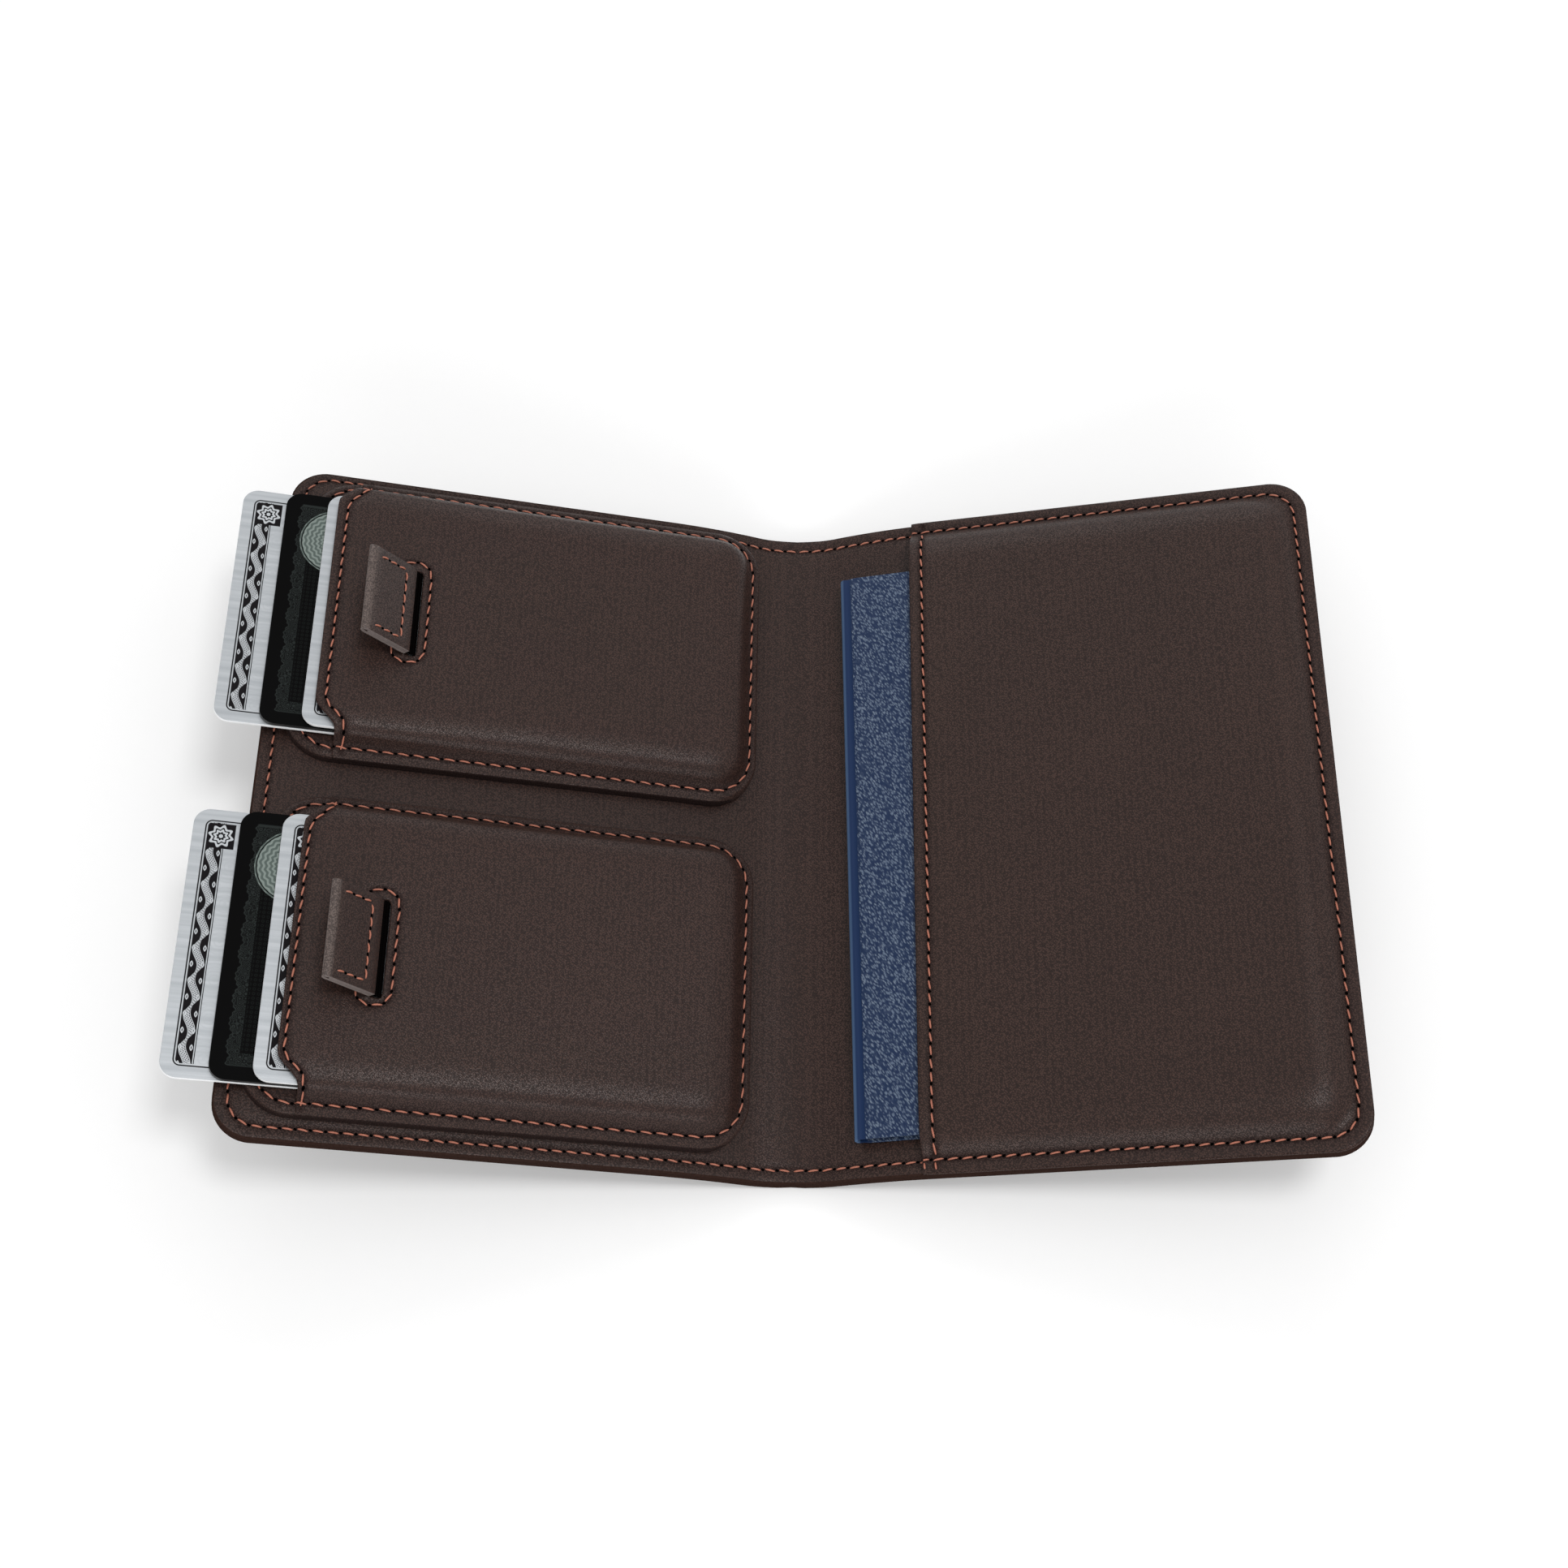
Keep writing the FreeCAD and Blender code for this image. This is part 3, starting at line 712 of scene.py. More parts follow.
def coverHalf(side, name, top, thickness, rim, material, replaced):
    # one half of a layer of the cover, from the middle of the spine to the outer edge
    tree = nearTree([coverSeam(side)])
    bm = coverSheet(rim)
    refineNear(bm, tree, *cover["refine"])
    bend = [edge for edge in bm.edges if abs(edge.verts[0].co.y - edge.verts[1].co.y) < 1e-4
            and abs((edge.verts[0].co.x + edge.verts[1].co.x) / 2 - foldRun) < cover["bendReach"]]
    bmesh.ops.subdivide_edges(bm, edges=bend, cuts=2, use_grid_fill=True)
    thicken(bm, thickness, rim, keepOpen=lambda co: co.x < 1e-3, sideMaterial=1)
    seamLayer = markSeams(bm, tree)
    for vert in bm.verts:
        facing = 1 if vert.co.z > -thickness / 2 else -1
        if (top == 0) == (facing > 0):
            vert.co.z -= facing * cover["dip"] * vert[seamLayer]
        else:
            vert[seamLayer] = 0.0
    rims = [edge for edge in bm.edges if edge.is_boundary]
    bmesh.ops.holes_fill(bm, edges=rims, sides=0)
    for edge in rims:
        edge.smooth = False
    piece = placeMesh(name, bm, lambda co: onCover(side, max(co.x, 0.0), co.y, co.z + top),
                      [material, paintedEdge], replaced=replaced)
    bendAtFold(piece, side)


def bendAtFold(piece, side):
    # the leather turns over the fold's axis between the spine and a panel
    pivot = onCover(side, foldRun, 0, 0)
    along = (onCover(side, foldRun + 0.5, 0, 0) - onCover(side, foldRun - 0.5, 0, 0)).normalized()
    reach = fold["blend"] * mm
    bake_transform(piece, "spine", bodies[side], start=pivot - along * reach, end=pivot + along * reach)


for side, word in ((-1, "left"), (1, "right")):
    coverHalf(side, word + "LiningLeather", 0, fold["lining"], cover["rim"], panelLeather,
              (word + "_lining", "spine_lining"))
    coverHalf(side, word + "CoverLeather", -fold["lining"], fold["cover"], cover["underRim"],
              outerLeather, (word + "_cover", "spine_cover"))
print("cover made")


sleeve = {"mouth": 16.35, "thickness": 1.1, "rise": 3.45, "width": 10.0, "power": 3.2, "corner": 13.0,
          "cornerPower": 3.4, "ledge": 0.6, "seamAtMouth": 2.6, "cell": 1.3, "rim": 0.4, "dip": 0.18,
          "sag": 0.18, "sagAt": 58, "sagReach": (38, 58), "refine": (1.6, 1)}
sleeveSeamX = cover["panel"] - cover["seamInset"]
sleeveSeamY = cover["half"] - cover["seamInset"]


def cornerSafe(fromEnd, fromSide, corner, power):
    # distance from the seam, rounded at the corners
    first = max(corner - fromEnd, 0.0)
    second = max(corner - fromSide, 0.0)
    return corner - (first ** power + second ** power) ** (1 / power)


def moundRise(distance, width, height, power):
    share = min(max(distance / width, 0.0), 1.0)
    return height * (1 - (1 - share) ** power)


def sleeveLevel(across, along):
    ledge = sleeve["ledge"]
    inward = cornerSafe(sleeveSeamX - ledge - across, sleeveSeamY - ledge - abs(along), sleeve["corner"],
                        sleeve["cornerPower"])
    level = moundRise(inward, sleeve["width"], sleeve["rise"], sleeve["power"])
    acrossReach, alongReach = sleeve["sagReach"]
    middle = (max(0.0, 1 - ((across - sleeve["sagAt"]) / acrossReach) ** 2)
              * max(0.0, 1 - (along / alongReach) ** 2))
    return sleeve["thickness"] + level - sleeve["sag"] * middle


def makeSleeve():
    rim = sleeve["rim"]
    low = (sleeve["mouth"] + rim, -cover["half"] + rim)
    high = (cover["panel"] - rim, cover["half"] - rim)
    bm = flatSheet(low, high, sleeve["cell"])
    roundCorners(bm, low, high, cover["corner"] - rim, ends=(-1,))
    seamX = sleeve["mouth"] + sleeve["seamAtMouth"]
    mouthRun = roundedRun([(seamX, -cover["half"] + 1), (seamX, cover["half"] - 1)], 1)
    edge = roundedRun([(sleeve["mouth"], sleeveSeamY), (sleeveSeamX, sleeveSeamY),
                       (sleeveSeamX, -sleeveSeamY), (sleeve["mouth"], -sleeveSeamY)],
                      cover["corner"] - cover["seamInset"] + cover["seamEase"])
    tree = nearTree([edge, mouthRun])
    refineNear(bm, tree, *sleeve["refine"])
    thicken(bm, sleeve["thickness"], rim)
    sinkSeams(bm, tree, sleeve["thickness"], sleeve["dip"], lambda co: sleeveLevel(co.x, co.y))
    placeMesh("passportSleeve", bm, lambda co: seats[1] @ co, [pocketLeather], "right_panel",
              ("passport_sleeve",))


makeSleeve()
print("sleeve made")


wallet = {"start": 0.0, "end": 95.5, "half": 32.55, "corner": 10.0, "seat": 0.1, "baseTop": 2.5,
          "shift": 0.9, "flange": 0.65, "rim": 0.35, "seamInset": 2.1, "startInset": 1.6,
          "pitch": 3.05, "beadPower": 2.6, "ledge": 0.55, "shadeFrom": 0.92,
          "mouth": {"upper": 89.8, "lower": 89.0}, "notch": 4.4, "lipTop": 23.9, "lipBottom": 22.2,
          "notchRun": 6.0, "warpFrom": 76.0,
          "slot": 72.2, "slotWidth": 1.9, "slotLength": 19.8, "slotShift": -0.55, "cell": 1.3,
          "mouthSeam": {"near": 83.6, "far": 87.8, "low": (26.4, 23.1), "high": (23.6, 28.6), "past": 0.9,
                        "radii": (1, 3.4, 2.4, 2.4, 1.2, 1)},
          "slotSeam": {"low": (69.6, -11.5), "high": (76.4, 12.1), "corner": 3.1},
          "wall": {"rise": (2.6, 3.1), "width": (3.0, 2.3), "power": 2.0},
          "crown": {"rise": (1.85, 1.35), "width": (7.5, 7.0), "power": 2.0},
          "openFrom": 48, "openRun": 34, "formCorner": 9.0, "cornerPower": 2.6, "dip": 0.22,
          "refine": (1.9, 1)}
base = {"rim": 0.5, "cell": 2.0, "recess": 0.3, "recessFrom": 2.6, "recessRun": 1.6, "formCorner": 10.0,
        "cornerPower": 2.6, "thinnest": 0.14, "shadeFrom": 0.88, "refine": (2.4, 3)}
core = {"inset": 0.9, "top": 1.7, "thick": 0.8, "cell": 6.0, "rim": 0.1}
walletSeamStart = wallet["start"] + wallet["startInset"]
walletSeamEnd = wallet["end"] - wallet["seamInset"]
walletSeamHalf = wallet["half"] - wallet["seamInset"]
flangeTop = wallet["baseTop"] + wallet["flange"]
rows = {"upper": joints["upper_tab_lift"]["pos_m"][1] / mm, "lower": joints["lower_tab_lift"]["pos_m"][1] / mm}


def onWallet(word):
    # a wallet's own millimetres: across from the fold, along from the middle of its leather, up
    middle = rows[word] + wallet["shift"]
    return lambda co: seats[-1] @ Vector((-co.x, co.y + middle, co.z))


def easeStep(value):
    share = min(max(value, 0.0), 1.0)
    return share * share * (3 - 2 * share)


def mouthAt(word, along):
    lip = wallet["lipTop"] if along > 0 else wallet["lipBottom"]
    return wallet["mouth"][word] - wallet["notch"] * easeStep((abs(along) - lip) / wallet["notchRun"])


def beyondSeam(across, along):
    # how far a spot lies outside the wallet's seam, as a share of the margin
    corner = wallet["corner"] - wallet["seamInset"]
    aside = max(walletSeamStart - across, across - walletSeamEnd) + corner
    below = abs(along) - walletSeamHalf + corner
    reach = math.hypot(max(aside, 0), max(below, 0)) + min(max(aside, below), 0) - corner
    return min(max(reach / wallet["seamInset"], 0.0), 1.0)


def beadDrop(share, height):
    # the rounded edge outside the seam
    return height * (1 - (1 - share ** wallet["beadPower"]) ** (1 / wallet["beadPower"]))


def pocketLevel(across, along):
    # height of the moulded leather over the panel; across is positive outward from the fold
    ledge = wallet["ledge"]
    inward = cornerSafe(across - walletSeamStart - ledge, walletSeamHalf - ledge - abs(along),
                        wallet["formCorner"], wallet["cornerPower"])
    nearMouth = easeStep((across - wallet["openFrom"]) / wallet["openRun"])
    level = flangeTop
    for form in (wallet["wall"], wallet["crown"]):
        rise, width = (first + (last - first) * nearMouth for first, last in (form["rise"], form["width"]))
        level += moundRise(inward, width, rise, form["power"])
    share = min(beyondSeam(across, along), 1 - wallet["rim"] / wallet["seamInset"])
    return level - beadDrop(share, flangeTop - wallet["seat"])


def mouthSeam():
    path = wallet["mouthSeam"]
    end = walletSeamHalf + path["past"]
    return roundedRun([(path["near"], -end), (path["near"], -path["low"][0]), (path["far"], -path["low"][1]),
                       (path["far"], path["high"][0]), (path["near"], path["high"][1]), (path["near"], end)],
                      path["radii"])


def walletSeam():
    return roundedRun([(walletSeamStart, -walletSeamHalf), (walletSeamEnd, -walletSeamHalf),
                       (walletSeamEnd, walletSeamHalf), (walletSeamStart, walletSeamHalf)],
                      wallet["corner"] - wallet["seamInset"], closed=True)


def slotSeam():
    path = wallet["slotSeam"]
    near, far = path["low"][0], path["high"][0]
    low, high = wallet["slotShift"] + path["low"][1], wallet["slotShift"] + path["high"][1]
    return roundedRun([(near, low), (far, low), (far, high), (near, high)], path["corner"], closed=True)


def pocketMesh(word):
    rim = wallet["rim"]
    mouth = wallet["mouth"][word]
    low, high = (wallet["start"] + rim, -wallet["half"] + rim), (mouth - rim, wallet["half"] - rim)
    bm = flatSheet(low, high, wallet["cell"])
    left = wallet["slot"] - wallet["slotWidth"] / 2 - rim
    right = wallet["slot"] + wallet["slotWidth"] / 2 + rim
    far = wallet["slotLength"] / 2 + rim
    shoulder = far - (right - left) / 2
    shift = wallet["slotShift"]
    shares = (-1, -0.8, -0.4, 0, 0.4, 0.8, 1)
    cuts = [((left + right + (right - left) * share) / 2, (1, 0, 0)) for share in shares]
    cuts += [(shift + sign * reach, (0, 1, 0)) for sign in (-1, 1) for reach in (far, shoulder)]
    for level, way in cuts:
        bmesh.ops.bisect_plane(bm, geom=bm.verts[:] + bm.edges[:] + bm.faces[:], dist=0.02,
                               plane_co=Vector(way) * level, plane_no=way)
    opening = [face for face in bm.faces if left < face.calc_center_median().x < right
               and abs(face.calc_center_median().y - shift) < far]
    bmesh.ops.delete(bm, geom=opening, context="FACES")
    for vert in bm.verts:
        reach = vert.co.y - shift
        if left - 1e-3 < vert.co.x < right + 1e-3 and far - 0.02 < abs(reach) < far + 0.02:
            sideways = (vert.co.x - (left + right) / 2) / ((right - left) / 2)
            bow = math.sqrt(max(0.0, 1 - min(1.0, abs(sideways)) ** 2))
            vert.co.y = shift + math.copysign(shoulder + (far - shoulder) * bow, reach)
    roundCorners(bm, low, high, wallet["corner"] - rim, ends=(1,))
    bent = wallet["warpFrom"]
    for vert in bm.verts:
        if vert.co.x > bent:
            share = (vert.co.x - bent) / (mouth - rim - bent)
            vert.co.x = bent + share * (mouthAt(word, vert.co.y) - rim - bent)
    return bm


def shadeRimsAtPanel(bm, seamLayer, share):
    # painted shade: the turned edge of a wallet takes the dark seam colour where it meets the panel
    rimLayer = bm.verts.layers.float["rim"]
    for vert in bm.verts:
        if beyondSeam(vert.co.x, vert.co.y) > share:
            vert[rimLayer] = 0.0
            vert[seamLayer] = 1.0


def walletSheet(inset, cell):
    low = (wallet["start"] + inset, -wallet["half"] + inset)
    high = (wallet["end"] - inset, wallet["half"] - inset)
    bm = flatSheet(low, high, cell)
    roundCorners(bm, low, high, wallet["corner"] - inset)
    return bm


def makePocket(word):
    bm = pocketMesh(word)
    tree = nearTree([walletSeam(), mouthSeam(), slotSeam()])
    refineNear(bm, tree, *wallet["refine"])
    thicken(bm, wallet["flange"], wallet["rim"])
    seamLayer = sinkSeams(bm, tree, wallet["flange"], wallet["dip"], lambda co: pocketLevel(co.x, co.y))
    shadeRimsAtPanel(bm, seamLayer, wallet["shadeFrom"])
    placeMesh(word + "Pocket", bm, onWallet(word), [pocketLeather], word + "_wallet",
              (word + "_pocket_front",))


def makeBase(word):
    bm = walletSheet(base["rim"], base["cell"])
    tree = nearTree([walletSeam()])
    refineNear(bm, tree, *base["refine"])
    thickness = wallet["baseTop"] - wallet["seat"]
    thicken(bm, thickness, base["rim"])
    seamLayer = markSeams(bm, tree)
    for vert in bm.verts:
        shown = vert.co.z > -thickness / 2
        inward = cornerSafe(min(vert.co.x - wallet["start"], wallet["end"] - vert.co.x),
                            wallet["half"] - abs(vert.co.y), base["formCorner"], base["cornerPower"])
        if shown:
            sunk = easeStep((inward - base["recessFrom"]) / base["recessRun"])
            vert.co.z -= wallet["dip"] * vert[seamLayer] + base["recess"] * sunk
        else:
            vert[seamLayer] = 0.0
        left = max(1 - beadDrop(beyondSeam(vert.co.x, vert.co.y), 1.0), base["thinnest"])
        vert.co.z = wallet["seat"] + (vert.co.z + thickness) * left
    shadeRimsAtPanel(bm, seamLayer, base["shadeFrom"])
    placeMesh(word + "WalletBase", bm, onWallet(word), [pocketLeather], word + "_wallet",
              (word + "_base_back", word + "_base_face"))


def makeCore(word):
    # stiff plate between the leathers of the base, moved along with them
    bm = walletSheet(core["inset"], core["cell"])
    thicken(bm, core["thick"], core["rim"], steps=2)
    bmesh.ops.translate(bm, vec=(0, 0, core["top"]), verts=bm.verts)
    placeMesh(word + "WalletCore", bm, onWallet(word), [coreFinish], word + "_wallet",
              (word + "_base_core",))


coreLook = {"scale": 800.0, "dark": rgb(0.020, 0.020, 0.021), "light": rgb(0.035, 0.035, 0.036), "rough": 0.55,
            "metal": 0.0, "depth": 0.00003}
coreFinish = plainMaterial("walletCoreFinish", coreLook)
for word in rows:
    makePocket(word)
    makeBase(word)
    makeCore(word)
print("wallets made")


tab = {"length": 12.7, "width": 19.4, "leather": 0.65, "thick": 1.7, "lift": 0.05, "steps": 16, "start": 0.75,
       "nose": 1.7, "swell": 1.12, "runSteps": 7, "cuts": 9, "noseHighlightFrom": 0.35, "softEdge": 0.14,
       "weltWidth": 0.6, "weltOverlap": 0.12, "weltInset": 0.06, "weltBevel": 0.05}


def tabSeat(word):
    hinge = Vector(joints[word + "_tab_lift"]["pos_m"])
    along = Vector(joints[word + "_tab_pull"]["axis"])
    up = Vector((along.z, 0, -along.x))
    turn = Matrix((along, Vector((0, -1, 0)), up)).transposed().to_4x4()
    return Matrix.Translation(hinge) @ turn @ Matrix.Scale(mm, 4)


def widthEdge(bm, across, level, width):
    first = bm.verts.new((across, -width / 2, level))
    second = bm.verts.new((across, width / 2, level))
    return [bm.edges.new((first, second))]


def carryOn(bm, edges, length, count):
    # extrudes a row of edges along X, in count even steps
    for _ in range(count):
        grown = bmesh.ops.extrude_edge_only(bm, edges=edges)["geom"]
        edges = [part for part in grown if isinstance(part, bmesh.types.BMEdge)]
        fresh = [part for part in grown if isinstance(part, bmesh.types.BMVert)]
        bmesh.ops.translate(bm, vec=(length / count, 0, 0), verts=fresh)
    return edges


def turnOn(bm, edges, centre, axis, steps):
    # carries a row of edges through half a turn about a line along Y
    turned = bmesh.ops.spin(bm, geom=edges, cent=(centre[0], 0, centre[1]), axis=(0, axis, 0), dvec=(0, 0, 0),
                            angle=math.pi, steps=steps, use_duplicate=False)
    return [part for part in turned["geom_last"] if isinstance(part, bmesh.types.BMEdge)]


def splitWidth(bm, cuts):
    lengthwise = [edge for edge in bm.edges if abs(edge.verts[0].co.y - edge.verts[1].co.y) > 1]
    bmesh.ops.subdivide_edges(bm, edges=lengthwise, cuts=cuts, use_grid_fill=True)
    bmesh.ops.recalc_face_normals(bm, faces=bm.faces[:])


def thickStrip(piece, thickness, bevelWidth, rimMaterial=0):
    solid = piece.modifiers.new("thickness", "SOLIDIFY")
    solid.thickness = thickness * mm
    solid.offset = 0.0
    solid.use_even_offset = True
    solid.material_offset_rim = rimMaterial
    bevel = piece.modifiers.new("softEdge", "BEVEL")
    bevel.width = bevelWidth * mm
    bevel.segments = 2
    bevel.limit_method = "ANGLE"
    bevel.angle_limit = math.radians(50)


def makeTab(word):
    seat = tabSeat(word)
    leafGap = (tab["thick"] - tab["leather"]) / 2
    turnAt = tab["length"] - tab["nose"]
    middle = tab["lift"] + tab["thick"] / 2
    bm = bmesh.new()
    leaf = turnAt - tab["start"]
    edges = widthEdge(bm, tab["start"], middle - leafGap, tab["width"])
    edges = carryOn(bm, edges, leaf, tab["runSteps"])
    edges = turnOn(bm, edges, (turnAt, middle), -1, tab["steps"])
    # the turn at the free end is drawn out into a rounded nose
    stretch = (tab["nose"] - tab["leather"] / 2) / leafGap
    rimLayer = bm.verts.layers.float.new("rim")
    for vert in bm.verts:
        past = vert.co.x - turnAt
        if past > 1e-4:
            vert.co.x = turnAt + past * stretch
            vert.co.z = middle + (vert.co.z - middle) * tab["swell"]
    carryOn(bm, edges, -leaf, tab["runSteps"])
    splitWidth(bm, tab["cuts"])
    # painted highlight: the rim layer rises towards the nose and lightens its colour, partly a rubbed fold
    for vert in bm.verts:
        vert[rimLayer] = easeStep((vert.co.x - turnAt) / tab["nose"] + tab["noseHighlightFrom"])
    piece = placeMesh(word + "PullTab", bm, lambda co: seat @ co, [tabLeather, tabCutEdge], word + "_pull_tab",
                      (word + "_pull_tab",))
    thickStrip(piece, tab["leather"], tab["softEdge"], 1)
    # glued filling between the leaves along both sides
    bm = bmesh.new()
    depth = tab["thick"] - 2 * tab["leather"] + tab["weltOverlap"]
    aside = (tab["width"] - tab["weltWidth"] - tab["weltInset"]) / 2
    for sign in (-1, 1):
        size = Matrix.Diagonal((leaf, tab["weltWidth"], depth, 1))
        spot = ((turnAt + tab["start"]) / 2, sign * aside, middle)
        bmesh.ops.create_cube(bm, size=1.0, matrix=Matrix.Translation(spot) @ size)
    bmesh.ops.bevel(bm, geom=bm.edges[:], offset=tab["weltBevel"], segments=2, profile=0.5, affect="EDGES",
                    material=-1)
    placeMesh(word + "TabWelts", bm, lambda co: seat @ co, [tabCutEdge], word + "_pull_tab")


for word in rows:
    makeTab(word)
print("tabs made")


ribbon = {"width": 19.5, "thick": 0.32, "floor": 2.53, "roof": 5.98, "turnStart": 5.9, "turnSteps": 12,
          "anchor": 16.0, "slotGap": 0.4, "cuts": 5, "softEdge": 0.05, "neckWidth": 19.2, "neckThick": 0.3,
          "neckTail": 1.5, "neckStretch": 3.0, "neckEnd": 8.0, "steps": (6, 24), "neckSteps": (3, 10, 5)}


def bakePiece(piece):
    # puts a piece's modifiers into its mesh
    graph = bpy.context.evaluated_depsgraph_get()
    bpy.context.view_layer.update()
    mesh = bpy.data.meshes.new_from_object(piece.evaluated_get(graph), depsgraph=graph)
    old = piece.data
    piece.modifiers.clear()
    piece.data = mesh
    bpy.data.meshes.remove(old)


def makeStrap(word):
    middle = rows[word]
    low = ribbon["floor"] + ribbon["thick"] / 2
    high = ribbon["roof"] + ribbon["thick"] / 2
    turn = ribbon["turnStart"] + (high - low) / 2
    slotSide = wallet["slot"] - wallet["slotWidth"] / 2 - ribbon["slotGap"]
    under, over = ribbon["steps"]
    bm = bmesh.new()
    edges = widthEdge(bm, turn + ribbon["anchor"], low, ribbon["width"])
    edges = carryOn(bm, edges, -ribbon["anchor"], under)
    edges = turnOn(bm, edges, (turn, (low + high) / 2), 1, ribbon["turnSteps"])
    carryOn(bm, edges, slotSide - turn, over)
    splitWidth(bm, ribbon["cuts"])
    piece = placeMesh(word + "StrapRibbon", bm, lambda co: seats[-1] @ Vector((-co.x, co.y + middle, co.z)),
                      [ribbonCloth], word + "_wallet", (word + "_strap",))
    thickStrip(piece, ribbon["thick"], ribbon["softEdge"])


def makeNeck(word):
    seat = tabSeat(word)
    middle = tab["lift"] + tab["thick"] / 2
    bm = bmesh.new()
    edges = widthEdge(bm, -ribbon["neckTail"], middle, ribbon["neckWidth"])
    lengths = (ribbon["neckTail"], ribbon["neckStretch"], ribbon["neckEnd"] - ribbon["neckStretch"])
    for length, count in zip(lengths, ribbon["neckSteps"]):
        edges = carryOn(bm, edges, length, count)
    splitWidth(bm, ribbon["cuts"])
    piece = placeMesh(word + "StrapNeck", bm, lambda co: seat @ co, [ribbonCloth], None,
                      (word + "_strap_neck",))
    thickStrip(piece, ribbon["neckThick"], ribbon["softEdge"])
    bakePiece(piece)
    # the ribbon stretches out of the slot as the tab is pulled
    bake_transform(piece, word + "_strap_end", word + "_pull_tab", start=seat @ Vector((0, 0, middle)),
             end=seat @ Vector((ribbon["neckStretch"], 0, middle)))


for word in rows:
    makeStrap(word)
    makeNeck(word)
print("straps made")


card = {"length": 85.6, "width": 53.98, "thick": 0.76, "corner": 3.18, "edge": 0.09, "printCorner": 3.6,
        "play": {("upper", 3): (0.45, -0.25), ("lower", 1): (-0.6, 0.0), ("lower", 2): (-0.6, 0.0),
                 ("lower", 3): (-0.55, 0.0)}}


def makeCard(word, number, face, edge):
    node = word + "_card_" + str(number)
    low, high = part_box(node)
    centre = seats[-1].inverted() @ ((Vector(low) + Vector(high)) / 2)
    bm = bmesh.new()
    bmesh.ops.create_grid(bm, x_segments=1, y_segments=1, size=0.5)
    bmesh.ops.scale(bm, vec=(card["length"], card["width"], 1), verts=bm.verts)
    bmesh.ops.bevel(bm, geom=bm.verts[:], offset=card["corner"], offset_type="OFFSET", segments=10, profile=0.5,
                    affect="VERTICES", material=-1)
    grown = bmesh.ops.extrude_face_region(bm, geom=bm.faces[:])["geom"]
    lower = [part for part in grown if isinstance(part, bmesh.types.BMVert)]
    bmesh.ops.translate(bm, vec=(0, 0, -card["thick"]), verts=lower)
    bmesh.ops.recalc_face_normals(bm, faces=bm.faces[:])
    for side in bm.faces:
        side.material_index = 1 if abs(side.normal.z) < 0.5 else 0
    rims = [side for side in bm.edges if len({part.material_index for part in side.link_faces}) > 1]
    bmesh.ops.bevel(bm, geom=rims, offset=card["edge"], segments=2, profile=0.5, affect="EDGES", material=-1)
    sheet = bm.loops.layers.uv.new("cardSpot")
    for side in bm.faces:
        for loop in side.loops:
            # in hundreds of millimetres from the outer end and from the middle line
            loop[sheet].uv = ((card["length"] / 2 + loop.vert.co.x) / 100, loop.vert.co.y / 100)
    bmesh.ops.translate(bm, vec=(0, 0, card["thick"] / 2), verts=bm.verts)
    # how far it has slid inward, and how much it leans
    slid, lean = card["play"].get((word, number), (0.0, 0.0))
    bmesh.ops.rotate(bm, cent=(0, 0, 0), matrix=Matrix.Rotation(math.radians(lean), 3, "Z"), verts=bm.verts)
    bmesh.ops.translate(bm, vec=(slid, 0, 0), verts=bm.verts)
    placeMesh(word + "Card" + str(number), bm, lambda co: seats[-1] @ (centre + co), [face, edge], node,
              (node,), smooth=False)


def cardSpot(tree):
    # distances on a card in millimetres: from its outer end, from its middle line, in from its edge
    uv = addNode(tree, "ShaderNodeUVMap", {}, uv_map="cardSpot")
    apart = partsOf(uv)
    along, across = apart[0] * 100.0, apart[1] * 100.0
    corner = card["printCorner"]
    aside = abs(along - card["length"] / 2) - (card["length"] / 2 - corner)
    below = abs(across) - (card["width"] / 2 - corner)
    over = either(aside, 0.0) ** 2.0 + either(below, 0.0) ** 2.0
    inside = calc("MINIMUM", either(aside, below), 0.0)
    inward = corner - (calc("SQRT", over) + inside)
    return uv, along, across, inward


def radiusFrom(along, across, centre):
    apart = (along - centre[0], across - centre[1])
    return calc("SQRT", abs(apart[0]) ** 2.0 + abs(apart[1]) ** 2.0), calc("ARCTAN2", apart[1], apart[0])


silverPrint = {"border": 2.25, "bandStart": 2.75, "bandEnd": 5.75, "period": 6.5, "rosette": (5.35, 21.5),
               "rosetteSize": 2.45, "petals": 8.0, "silver": rgb(0.45, 0.47, 0.49),
               "silverDark": rgb(0.36, 0.38, 0.40), "ink": rgb(0.006, 0.005, 0.006),
               "line": rgb(0.46, 0.48, 0.50), "metal": 0.55, "gloss": 0.1, "inkMatt": 0.4}


def engravedBand(along, across, look):
    # bundle of waves along the end, pinched and opened in turn, with small gems beside it
    offset = along - (look["bandStart"] + look["bandEnd"]) / 2
    waved = offset - wave(across, look["period"]) * 0.55
    share = waved / (abs(wave(across, look["period"] * 2)) * 0.42 + 0.16)
    strands = step(wave(share, 0.5), -0.2, 0.5)
    ticks = step(wave(across + waved * 0.6, 0.46), 0.0, 0.6)
    engraved = either(strands, ticks) * band(share, -1.0, 1.0, 0.12)
    lace = (band(share, -1.35, 1.35, 0.06) - band(share, -1.12, 1.12, 0.06)).clamped()
    gem = abs(abs(offset) - 1.02) + (1.0 - abs(wave(across, look["period"]))) * 1.6
    return either(either(engraved, lace), band(gem, 0.10, 0.30, 0.05))


